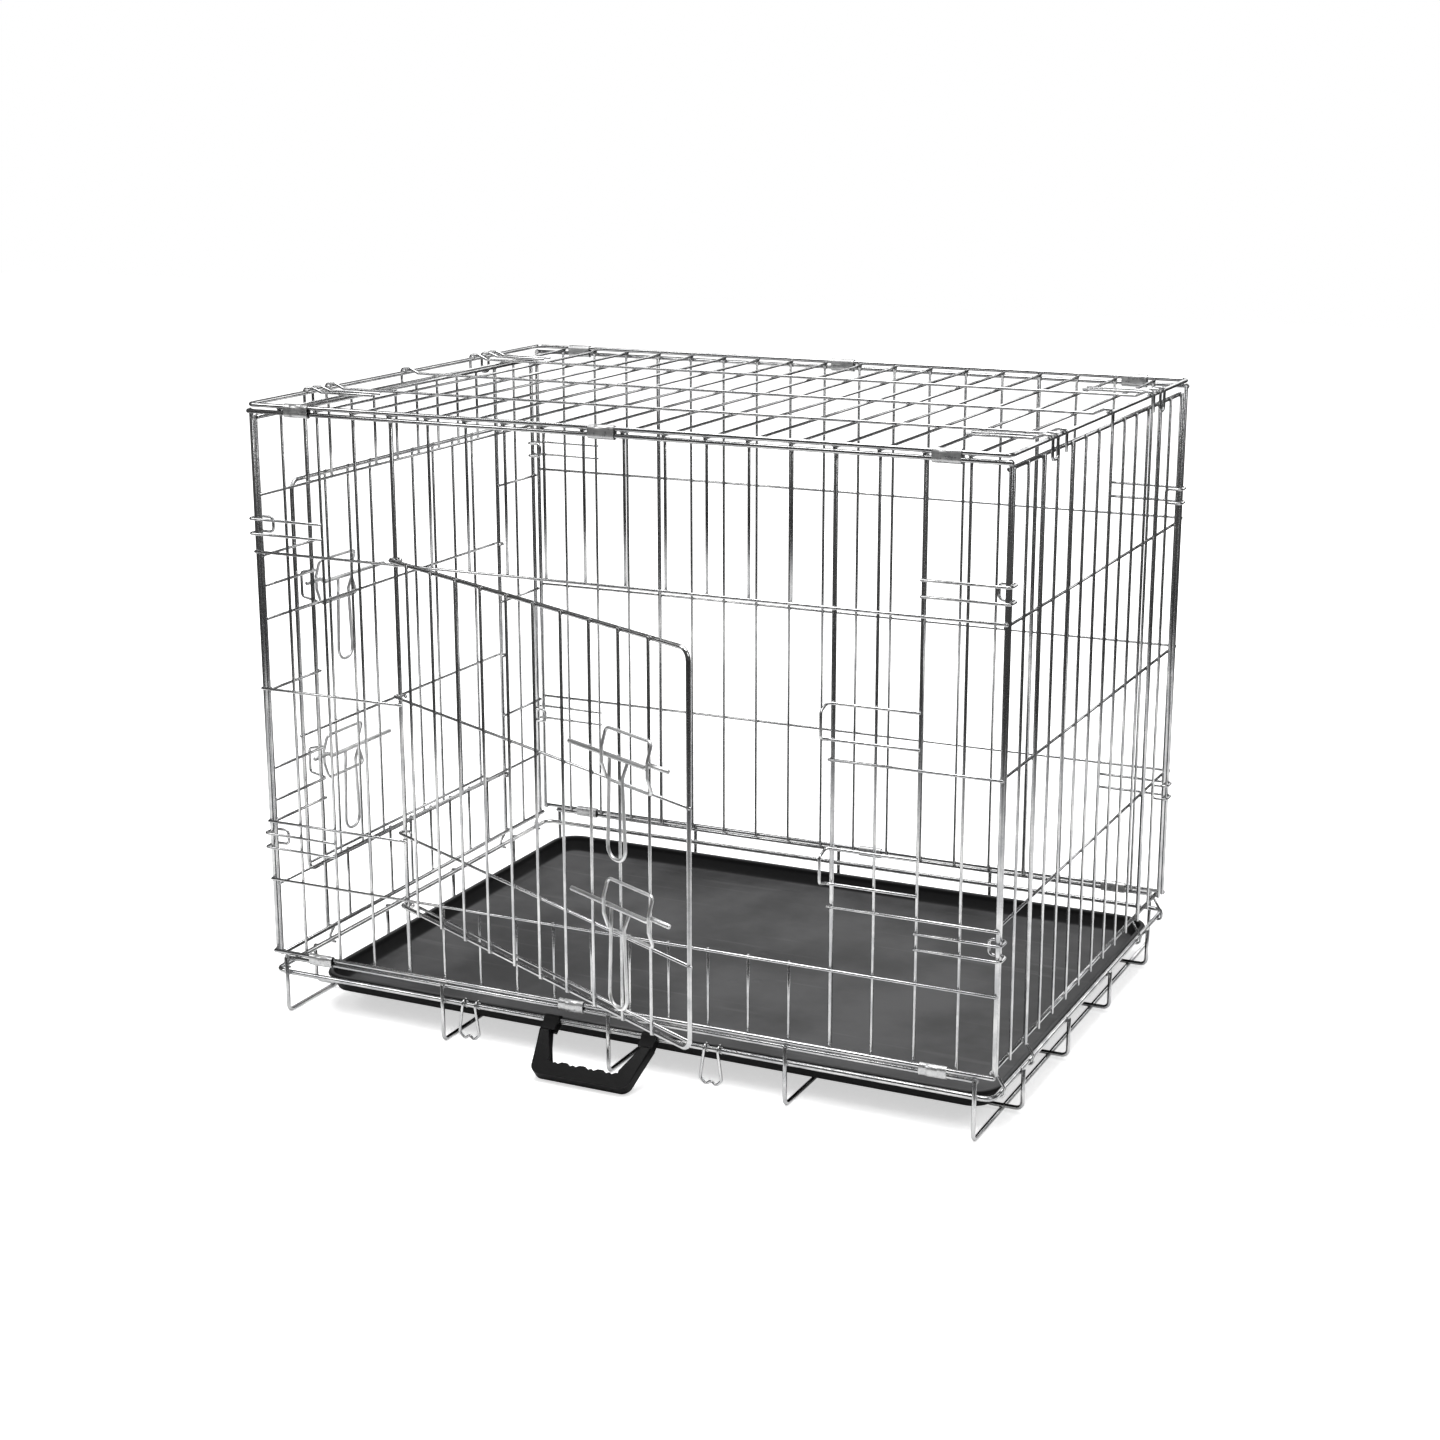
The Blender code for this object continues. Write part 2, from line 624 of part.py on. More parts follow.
def clip_ring(bm, x, radius, half):
    """A slot shape round both rails, one half turn over each of them."""
    ring = []
    for middle, turns in ((-half, (180, 240, 300, 360)), (half, (0, 60, 120, 180))):
        for turn in turns:
            ring.append(bm.verts.new((x, radius * cos(radians(turn)), middle + radius * sin(radians(turn)))))
    return ring


def sleeve(name, at, spacing):
    """A sleeve of bent sheet, raised in the middle of its length."""
    bore = (FRAME_R + LOOSE) / cos(pi / 6)
    skin = bore + CLIP_SHEET
    half = spacing / 2
    ends = CLIP_LENGTH / 2
    bm = bmesh.new()
    raised = ends * CLIP_RAISED
    stations = ((-ends, skin), (-raised, skin), (-raised, skin + CLIP_BUMP),
                (raised, skin + CLIP_BUMP), (raised, skin), (ends, skin))
    outer = [clip_ring(bm, x, radius, half) for x, radius in stations]
    hole = [clip_ring(bm, x, bore, half) for x in (-ends, ends)]
    loops = outer + [hole[1], hole[0], outer[0]]
    for near, far in zip(loops, loops[1:]):
        for k in range(len(near)):
            n = (k + 1) % len(near)
            bm.faces.new((near[k], near[n], far[n], far[k]))
    clip = solid(name, bm, material(name + "_sheet", CLIP_ZINC, 0.32, 1.0), at)
    return clip


def cell_middle(index):
    return (column_x(index) + column_x(index + 1)) / 2


for face, side, cells in (("front", -1, BOTTOM_FRONT_CLIPS), ("back", 1, BOTTOM_BACK_CLIPS)):
    y = side * DEPTH / 2
    for number, index in enumerate(cells, 1):
        sleeve("%s_bottom_clip_%d" % (face, number),
               (cell_middle(index), y + side * UPPER_RAIL_OUT / 2, (BOTTOM_RAIL_Z + UPPER_RAIL_Z) / 2),
               UPPER_RAIL_DROP)
    for number, index in enumerate(TOP_CLIPS, 1):
        middle_z = (TOP_RAIL_Z + LID_Z) / 2
        sleeve("%s_top_clip_%d" % (face, number), (cell_middle(index), y, middle_z), TOP_STACK)


# Doors: a bent frame whose ends and mid rails turn round the hinge wire as eyes

def eye(radius, z):
    """Three quarters of a turn round the hinge wire, leaving it along +X on the outer side."""
    turns = range(30, 271, 30)
    return [(radius * cos(radians(t)), radius * sin(radians(t)), z) for t in turns]


def wire_door(name, width, columns, bottom, top, mids, extra, at, turn, parent=None):
    frame = bmesh.new()
    clear = DOOR_RAIL_W + FRAME_R
    corner = rounded([(clear, -DOOR_RAIL_W, top), (width, -DOOR_RAIL_W, top), (width, -DOOR_RAIL_W, bottom),
                      (clear, -DOOR_RAIL_W, bottom)], DOOR_CORNER_R, 3)
    path = eye(DOOR_RAIL_W, top) + corner + list(reversed(eye(DOOR_RAIL_W, bottom)))
    thick(frame, path, (0, 0, 1))
    columns_bm = bmesh.new()
    for a in columns:
        straight(columns_bm, (a, -DOOR_UPRIGHT_W, bottom - OVERRUN), (a, -DOOR_UPRIGHT_W, top + OVERRUN))
    mids_bm = bmesh.new()
    for z in mids:
        thin(mids_bm, eye(DOOR_MID_W, z) + [(width + STRIP_OVERRUN, -DOOR_MID_W, z)], (0, 0, 1))
    for z in extra:
        straight(mids_bm, (columns[0] - STRIP_OVERRUN, -DOOR_MID_W, z), (width, -DOOR_MID_W, z))
    door = solid(name, frame, wire_finish(name), at, turn, parent)
    weld(door, solid(name + "_columns", columns_bm), solid(name + "_mids", mids_bm))
    return door


def bolt_guide(name, tip, z, door):
    """A ring of wire on the door's outer face whose two sides arch over the bolt."""
    left = tip - GUIDE_BACK
    right = left + GUIDE_WIDTH
    path = ((left, -BAR_W, z + GUIDE_UP), (right, -BAR_W, z + GUIDE_UP), (right, -ARCH_W, z + GUIDE_ARCH),
            (right, -ARCH_W, z - GUIDE_ARCH), (right, -BAR_W, z - GUIDE_DOWN), (left, -BAR_W, z - GUIDE_DOWN),
            (left, -ARCH_W, z - GUIDE_ARCH), (left, -ARCH_W, z + GUIDE_ARCH))
    bm = bmesh.new()
    tube(bm, rounded(path, GUIDE_BEND, 1, closed=True), GUIDE_R, THIN_SIDES, OUTWARD, closed=True)
    solid(name, bm, wire_finish(name), (0, 0, 0), None, door)


def slide_bolt(name, tip, z, door):
    """A rod with a kinked tip and a hanging grip; its origin is at the tip."""
    rod = bmesh.new()
    path = ((-BOLT_LENGTH, 0, 0), (-BOLT_KINK_RUN - BOLT_KINK, 0, 0), (-BOLT_KINK_RUN, 0, BOLT_KINK),
            (0, 0, BOLT_KINK))
    tube(rod, path, BOLT_R, THICK_SIDES, OUTWARD)
    grip = bmesh.new()
    left = -GRIP_BACK
    right = left + GRIP_WIDTH
    out = BOLT_W - GRIP_W
    path = ((left, 0, 0), (left + GRIP_PINCH, out, -GRIP_PINCH_DOWN), (left, out, -GRIP_DROP),
            (right, out, -GRIP_DROP), (right - GRIP_PINCH, out, -GRIP_PINCH_DOWN), (right, 0, 0))
    tube(grip, rounded(path, GRIP_BEND, 3), GRIP_R, THIN_SIDES, OUTWARD)
    bolt = solid(name, rod, wire_finish(name), (tip, -BOLT_W, z), None, door)
    weld(bolt, solid(name + "_grip", grip))


def keeper(name, legs_from, tip_side, out, z, inward, at, turn, parent=None):
    """Two legs welded across the uprights, with a closed end that stands out past the jamb."""
    upper = [(legs_from, inward, KEEPER_HALF), (tip_side, inward, KEEPER_HALF),
             (tip_side, -out, KEEPER_HALF - KEEPER_NARROWS)]
    lower = [(x, y, -h) for x, y, h in reversed(upper)]
    bm = bmesh.new()
    tube(bm, rounded(upper + lower, CATCH_BEND, 2), CATCH_R, THIN_SIDES, (0, 0, 1))
    place = (at[0], at[1], at[2] + z)
    return solid(name, bm, wire_finish(name), place, turn, parent)


JAMB_PAST = FRAME_R + LOOSE + CATCH_R
TIP_BACK = JAMB_PAST + CATCH_R + BOLT_TIP_GAP

front_opening = column_x(LOCK_JAMB) - column_x(HINGE_JAMB)
front_width = front_opening + DOOR_OVERLAP
front_pitch = (front_width - FRONT_DOOR_FIRST - FRONT_DOOR_LAST) / (FRONT_DOOR_WIRES - 1)
front_columns = [FRONT_DOOR_FIRST + k * front_pitch for k in range(FRONT_DOOR_WIRES)]
front_hinge = (column_x(HINGE_JAMB), THICK_IN - DEPTH / 2, BOTTOM_RAIL_Z)

# The closed front door leans on the keepers' legs, which lie over the uprights
legs_face = CATCH_OUT + CATCH_R + THICK_IN
lean = asin((legs_face + LOOSE - (DOOR_RAIL_W - FRAME_R)) / front_width)
front_door = wire_door(
    "front_door", front_width, front_columns, SILL_UP - DOOR_SILL_DROP, 3 * RAIL_SPACING + EYE_UP,
    (RAIL_SPACING + DOOR_MID_UP, 2 * RAIL_SPACING + DOOR_MID_UP), (SILL_UP - DOOR_SILL_DROP + DOUBLE_RAIL,),
    front_hinge, (0, 0, -radians(FRONT_DOOR_OPEN_DEG)))

end_opening = END_PITCH * (END_LOCK_JAMB - END_HINGE_JAMB)
end_width = end_opening + END_DOOR_OVERLAP
end_columns = [k * END_PITCH for k in range(1, END_LOCK_JAMB - END_HINGE_JAMB)]
end_hinge = (end_column(END_HINGE_JAMB), LEFT_RAIL_BACK - THICK_IN, BOTTOM_UP)
end_door = wire_door(
    "end_door", end_width, end_columns, END_SILL - DOOR_SILL_DROP, END_LINTEL + EYE_UP,
    END_DOOR_MIDS, (END_SILL - DOOR_SILL_DROP + DOUBLE_RAIL,), end_hinge, (0, 0, 0), left_end)

for level, bolt_z in zip(("lower", "upper"), FRONT_BOLT_Z):
    tip = front_opening - TIP_BACK
    bolt_guide("front_door_%s_guide" % level, tip, bolt_z, front_door)
    slide_bolt("front_door_%s_bolt" % level, tip, bolt_z, front_door)
    reach = BOLT_W + BOLT_R + tip * sin(lean) + LOOSE + CATCH_R - THICK_IN
    jamb = column_x(LOCK_JAMB)
    keeper("front_%s_keeper" % level, jamb + KEEPER_CELLS * PITCH + OVERRUN, jamb - JAMB_PAST, reach,
           bolt_z + KEEPER_UP, -CATCH_OUT, (0, -DEPTH / 2, BOTTOM_RAIL_Z), (0, 0, 0))

for level, bolt_z in zip(("lower", "upper"), END_BOLT_Z):
    tip = end_opening - TIP_BACK
    bolt_guide("end_door_%s_guide" % level, tip, bolt_z, end_door)
    slide_bolt("end_door_%s_bolt" % level, tip, bolt_z, end_door)
    reach = BOLT_W + BOLT_R + LOOSE + CATCH_R - end_hinge[1]
    jamb = end_column(END_LOCK_JAMB)
    inner_face = LEFT_RAIL_BACK - THICK_IN + FRAME_R + GAP + CATCH_R
    keeper("end_%s_keeper" % level, jamb + KEEPER_CELLS * END_PITCH + OVERRUN, jamb - JAMB_PAST, reach,
           bolt_z + KEEPER_UP, inner_face, (0, 0, BOTTOM_UP), (0, 0, 0), left_end)


# Carry handle on the front lower rail, its grip lying down near the floor

half_thick = HANDLE_THICK / 2
droop = asin((LOWER_RAIL_Z - LOOSE) / hypot(HANDLE_REACH, half_thick)) - atan2(half_thick, HANDLE_REACH)
handle_pivot = bpy.data.objects.new("carry_handle_pivot", None)
bpy.context.scene.collection.objects.link(handle_pivot)
handle_pivot.location = (HANDLE_X, -DEPTH / 2, LOWER_RAIL_Z)
handle_pivot.rotation_euler = (droop, 0, 0)


def handle_outline():
    """The handle's edge in its own plane, as (across, away from the rail)."""
    outer = [(-HANDLE_TOP_HALF, HANDLE_START), (-HANDLE_BOTTOM_HALF, HANDLE_REACH),
             (HANDLE_BOTTOM_HALF, HANDLE_REACH), (HANDLE_TOP_HALF, HANDLE_START)]
    edge = rounded([(x, t, 0) for x, t in outer], HANDLE_CORNER_R, 4)
    points = [(p.x, p.y) for p in edge]
    inner_t = HANDLE_REACH - HANDLE_GRIP
    wide = HANDLE_BOTTOM_HALF - HANDLE_ARM
    points.append((HANDLE_TOP_HALF - HANDLE_ARM, HANDLE_START))
    samples = HANDLE_WAVES * 6
    for k in range(samples + 1):
        share = k / samples
        bump = HANDLE_WAVE * (0.5 - 0.5 * cos(2 * pi * HANDLE_WAVES * share))
        points.append((wide - 2 * wide * share, inner_t + bump - HANDLE_WAVE))
    points.append((HANDLE_ARM - HANDLE_TOP_HALF, HANDLE_START))
    return points


handle_bm = bmesh.new()
outline = handle_outline()
upper_edge = [handle_bm.verts.new((x, -t, half_thick)) for x, t in outline]
lower_edge = [handle_bm.verts.new((x, -t, -half_thick)) for x, t in outline]
handle_bm.faces.new(upper_edge)
handle_bm.faces.new(list(reversed(lower_edge)))
for k in range(len(outline)):
    n = (k + 1) % len(outline)
    handle_bm.faces.new((upper_edge[k], lower_edge[k], lower_edge[n], upper_edge[n]))
solid("carry_handle", handle_bm, material("handle_plastic", BLACK, 0.5, 0.0), (0, 0, 0), None, handle_pivot)


def handle_loop(name, x):
    """A sleeve round the rail with a lug that carries one end of the handle."""
    bm = bmesh.new()
    bore = (RAIL_R + LOOSE) / cos(pi / 12)
    skin = bore + LOOP_WALL
    lug = HANDLE_START - GAP
    outer = []
    hole = []
    for k in range(12):
        turn = 2 * pi * k / 12 + pi / 12
        y, z = skin * cos(turn), skin * sin(turn)
        if cos(turn) < -0.9:
            y, z = -lug, half_thick * 0.8 * (1 if z > 0 else -1)
        outer.append((y, z))
        hole.append((bore * cos(turn), bore * sin(turn)))
    wide = LOOP_WIDTH / 2
    loops = [[bm.verts.new((side, y, z)) for y, z in ring]
             for side, ring in ((-wide, outer), (wide, outer), (wide, hole), (-wide, hole))]
    loops.append(loops[0])
    for near, far in zip(loops, loops[1:]):
        for k in range(12):
            n = (k + 1) % 12
            bm.faces.new((near[k], near[n], far[n], far[k]))
    solid(name, bm, material(name + "_plastic", BLACK, 0.5, 0.0), (x, 0, 0), None, handle_pivot)


handle_loop("carry_handle_left_loop", LOOP_INSET - HANDLE_TOP_HALF)
handle_loop("carry_handle_right_loop", HANDLE_TOP_HALF - LOOP_INSET)


# Fold clips: wires that hang from the front lower rail and hold the folded cage flat

FOLD_CLIP_X = (CROSS_FEET_X[1] + LEFT_FOLD_CLIP_PAST, CROSS_FEET_X[-2] - RIGHT_FOLD_CLIP_SHORT)
for side_name, x in zip(("left", "right"), FOLD_CLIP_X):
    ring_r = (RAIL_R + LOOSE + THIN_R) / cos(radians(20))
    turns = range(240, -1, -40)
    hook = [(0, -ring_r * cos(radians(t)), ring_r * sin(radians(t))) for t in turns]
    left = [(-FOLD_CLIP_HALF, y, z) for _, y, z in hook]
    right = [(FOLD_CLIP_HALF, y, z) for _, y, z in reversed(hook)]
    bottom = [(-FOLD_CLIP_FLARE, -ring_r, FOLD_CLIP_TOE - FOLD_CLIP_DROP),
              (-FOLD_CLIP_FOOT, -ring_r, -FOLD_CLIP_DROP),
              (0, -ring_r, FOLD_CLIP_MIDDLE - FOLD_CLIP_DROP), (FOLD_CLIP_FOOT, -ring_r, -FOLD_CLIP_DROP),
              (FOLD_CLIP_FLARE, -ring_r, FOLD_CLIP_TOE - FOLD_CLIP_DROP)]
    clip_bm = bmesh.new()
    thin(clip_bm, left + rounded(bottom, FOLD_CLIP_BEND, 1) + right, (1, 0, 0))
    solid("%s_fold_clip" % side_name, clip_bm, wire_finish("%s_fold_clip" % side_name),
          (x, -DEPTH / 2, LOWER_RAIL_Z))
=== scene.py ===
import json
from math import asin, atan2, cos, hypot, pi, radians, sin, tan

import bmesh
import bpy
from mathutils import Matrix, Vector


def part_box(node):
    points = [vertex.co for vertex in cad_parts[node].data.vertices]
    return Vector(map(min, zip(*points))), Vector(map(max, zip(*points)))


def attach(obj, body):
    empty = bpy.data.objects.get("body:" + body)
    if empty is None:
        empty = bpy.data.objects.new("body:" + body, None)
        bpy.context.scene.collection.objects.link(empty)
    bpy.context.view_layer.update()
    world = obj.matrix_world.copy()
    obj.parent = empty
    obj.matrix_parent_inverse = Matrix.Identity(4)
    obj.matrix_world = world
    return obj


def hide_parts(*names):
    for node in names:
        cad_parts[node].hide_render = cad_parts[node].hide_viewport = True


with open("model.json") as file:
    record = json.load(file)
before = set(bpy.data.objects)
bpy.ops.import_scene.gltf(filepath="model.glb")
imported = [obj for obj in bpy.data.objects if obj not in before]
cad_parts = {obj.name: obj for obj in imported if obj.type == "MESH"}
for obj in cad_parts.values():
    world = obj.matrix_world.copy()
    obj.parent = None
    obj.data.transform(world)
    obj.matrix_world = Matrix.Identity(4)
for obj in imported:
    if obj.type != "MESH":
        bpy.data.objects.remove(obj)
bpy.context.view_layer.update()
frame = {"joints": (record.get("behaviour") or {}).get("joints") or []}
joints = {joint["name"]: joint for joint in frame["joints"]}


# The studio is a white floor with one wide soft lamp above, two weaker ones at the sides and a long one
# behind, which shows in the wires that run away from the camera. In mirrored light the floor is white near
# the cage and falls off to a dim room, so that wires are bright low down and dark higher up.

class Flow:
    """A value on its way through a finish; sums, differences and products add Math nodes."""

    def __init__(self, finish, socket):
        self.finish = finish
        self.socket = socket

    def work(self, operation, first, second):
        return self.finish.add("Math", 0, {"operation": operation}, {0: first, 1: second})

    def __add__(self, other):
        return self.work("ADD", self, other)

    def __radd__(self, other):
        return self.work("ADD", other, self)

    def __sub__(self, other):
        return self.work("SUBTRACT", self, other)

    def __rsub__(self, other):
        return self.work("SUBTRACT", other, self)

    def __mul__(self, other):
        return self.work("MULTIPLY", self, other)

    def __rmul__(self, other):
        return self.work("MULTIPLY", other, self)

    def between(self, low, high):
        """0 below low and 1 above high, with a soft change between them."""
        return self.finish.add("MapRange", 0, {"interpolation_type": "SMOOTHSTEP"},
                               {0: self, 1: low, 2: high})

    def or_more(self, other):
        return self.work("MAXIMUM", self, other)

    def stretched(self, across, along, deep=0.0):
        """The place with each of its axes scaled."""
        return self.finish.add("VectorMath", 0, {"operation": "MULTIPLY"},
                               {0: self, 1: (across, along, deep)})

    def from_point(self, point):
        """How far a place is from a point."""
        return self.finish.add("VectorMath", 1, {"operation": "DISTANCE"}, {0: self, 1: point})


class Finish:
    """The nodes of one material, or of the world."""

    def __init__(self, owner):
        owner.use_nodes = True
        self.owner = owner
        self.tree = owner.node_tree

    def add(self, kind, output, settings=None, inputs=None):
        node = self.tree.nodes.new("ShaderNode" + kind)
        for key, value in (settings or {}).items():
            setattr(node, key, value)
        for key, value in (inputs or {}).items():
            self.feed(node.inputs[key], value)
        return Flow(self, node.outputs[output])

    def feed(self, socket, value):
        if isinstance(value, Flow):
            self.tree.links.new(value.socket, socket)
        elif hasattr(value, "__len__") and len(value) == 3 and socket.type == "RGBA":
            socket.default_value = (*value, 1.0)
        else:
            socket.default_value = value

    def mix(self, share, first, second):
        """A colour that goes from first to second with share."""
        return self.add("Mix", 2, {"data_type": "RGBA"}, {0: share, 6: first, 7: second})

    def noise(self, place, scale, detail, roughness=0.5):
        return self.add("TexNoise", 0, None,
                        {"Vector": place, "Scale": scale, "Detail": detail, "Roughness": roughness})

    def bump(self, strength, depth, height):
        return self.add("Bump", 0, None, {"Strength": strength, "Distance": depth, "Height": height})

    def surface(self, colour, metallic, roughness, normal):
        """Feed the shader that a new material comes with, and hand back the material."""
        shader = self.tree.nodes["Principled BSDF"]
        self.feed(shader.inputs["Base Color"], colour)
        self.feed(shader.inputs["Metallic"], metallic)
        self.feed(shader.inputs["Roughness"], roughness)
        self.feed(shader.inputs["Normal"], normal)
        return self.owner

    def end(self, shader):
        is_material = isinstance(self.owner, bpy.types.Material)
        output = self.tree.nodes["Material Output" if is_material else "World Output"]
        self.feed(output.inputs["Surface"], shader)


PHOTO_LENS = 60.70
SENSOR_WIDTH = 36.0
CAMERA_AT = (1.0096, -2.1642, 0.9159)
CAMERA_TURN = (75.042, 0.066, 25.349)
camera_data = bpy.data.cameras.new("camera")
camera_data.lens = PHOTO_LENS
camera_data.sensor_width = SENSOR_WIDTH
camera = bpy.data.objects.new("camera", camera_data)
bpy.context.scene.collection.objects.link(camera)
camera.location = CAMERA_AT
camera.rotation_euler = [radians(angle) for angle in CAMERA_TURN]
bpy.context.scene.camera = camera
bpy.context.scene.view_settings.view_transform = "Standard"

FLOOR_HALF = 7.0
FLOOR_BELOW = 0.0002
FLOOR_WHITE = (0.93, 0.93, 0.93)
FLOOR_DIM = (0.065, 0.065, 0.065)
NEAR_GLOW = 0.58
GLOW_NEAR_TO_FAR = (0.8, 2.4)
MIRRORED_GLOW = 0.06
MIRRORED_NEAR_TO_FAR = (0.62, 1.7)
ROOM_MIRRORED = 0.075
ROOM_FILL = 0.24
PURE_WHITE = (1.0, 1.0, 1.0)


def rectangle(half_x, half_y, z):
    """Four corners, counted anticlockwise from the left front one."""
    return [(x * half_x, y * half_y, z) for x, y in ((-1, -1), (1, -1), (1, 1), (-1, 1))]


floor_mesh = bpy.data.meshes.new("floor")
floor_mesh.from_pydata(rectangle(FLOOR_HALF, FLOOR_HALF, -FLOOR_BELOW), [], [(0, 1, 2, 3)])
floor = bpy.data.objects.new("floor", floor_mesh)
bpy.context.scene.collection.objects.link(floor)

sweep = Finish(bpy.data.materials.new("white_floor"))
seen = sweep.add("LightPath", "Is Camera Ray")
mirrored = sweep.add("LightPath", "Is Glossy Ray").or_more(sweep.add("LightPath", "Is Transmission Ray"))
away = sweep.add("NewGeometry", "Position").from_point((0, 0, 0))
shade_far = mirrored * away.between(*MIRRORED_NEAR_TO_FAR)
seen_glow = seen * (NEAR_GLOW + (1 - NEAR_GLOW) * away.between(*GLOW_NEAR_TO_FAR))
mirrored_glow = (mirrored - shade_far) * MIRRORED_GLOW
paper = sweep.add("BsdfDiffuse", 0, None, {"Color": sweep.mix(shade_far, FLOOR_WHITE, FLOOR_DIM)})
glow = sweep.add("Emission", 0, None, {"Color": PURE_WHITE, "Strength": seen_glow + mirrored_glow})
sweep.end(sweep.add("AddShader", 0, None, {0: paper, 1: glow}))
floor_mesh.materials.append(sweep.owner)

room = Finish(bpy.context.scene.world or bpy.data.worlds.new("room"))
bpy.context.scene.world = room.owner
seen = room.add("LightPath", "Is Camera Ray")
mirrored = room.add("LightPath", "Is Glossy Ray").or_more(room.add("LightPath", "Is Transmission Ray"))
fill = (1 - seen.or_more(mirrored)) * ROOM_FILL
room.end(room.add("Background", 0, None, {
    "Color": PURE_WHITE, "Strength": seen + mirrored * ROOM_MIRRORED + fill}))


def soft_lamp(name, at, towards, width, depth, power):
    data = bpy.data.lights.new(name, "AREA")
    data.shape = "RECTANGLE"
    data.size = width
    data.size_y = depth
    data.energy = power
    lamp = bpy.data.objects.new(name, data)
    bpy.context.scene.collection.objects.link(lamp)
    lamp.location = at
    lamp.rotation_euler = (Vector(towards) - Vector(at)).to_track_quat("-Z", "Y").to_euler()


soft_lamp("overhead_lamp", (-0.1, -0.1, 2.9), (0, 0, 0.2), 2.4, 1.8, 84)
soft_lamp("left_lamp", (-2.3, -1.5, 2.4), (0, 0, 0.3), 1.0, 1.4, 20)
soft_lamp("right_lamp", (2.3, -1.0, 2.2), (0, 0, 0.3), 0.8, 1.2, 13)
soft_lamp("back_lamp", (0.2, 3.5, 1.75), (0, 0, 0.6), 4.6, 1.1, 32)


# Base basket: steel wire bent and resistance welded, then zinc plated bright all over.
# A lower rail runs right round, two short upper rails carry the long grids' sleeves,
# and the floor wires turn up at their ends as feet.

THIN_R = 0.0014
FRAME_R = 0.0021
WELD = 0.87
ROUND_SIDES = 14
END_CHAMFER = 0.35
END_SHARE = 0.72
RUN_APART = 37.0
TO_MM = 1000
BEAD_FLATNESS = 0.4
WIRE_SHARP = 50
STRAIGHT = 1e-4
MOST_SET_BACK = 0.49


def bent(points, radius, closed=False, steps=5):
    """The path through points, with each corner bent to an arc."""
    points = [Vector(p) for p in points]
    count = len(points)
    path = []
    for i, here in enumerate(points):
        if not closed and i in (0, count - 1):
            path.append(here)
            continue
        before = points[i - 1] - here
        after = points[(i + 1) % count] - here
        turn = pi - before.angle(after)
        if turn < STRAIGHT:
            path.append(here)
            continue
        slope = tan(turn / 2)
        set_back = min(radius * slope, before.length * MOST_SET_BACK, after.length * MOST_SET_BACK)
        start = here + before.normalized() * set_back
        inward = (before.normalized() + after.normalized()).normalized()
        middle = here + inward * hypot(set_back, set_back / slope)
        axis = before.cross(after).normalized()
        for k in range(steps + 1):
            path.append(middle + Matrix.Rotation(-turn * k / steps, 3, axis) @ (start - middle))
    return path


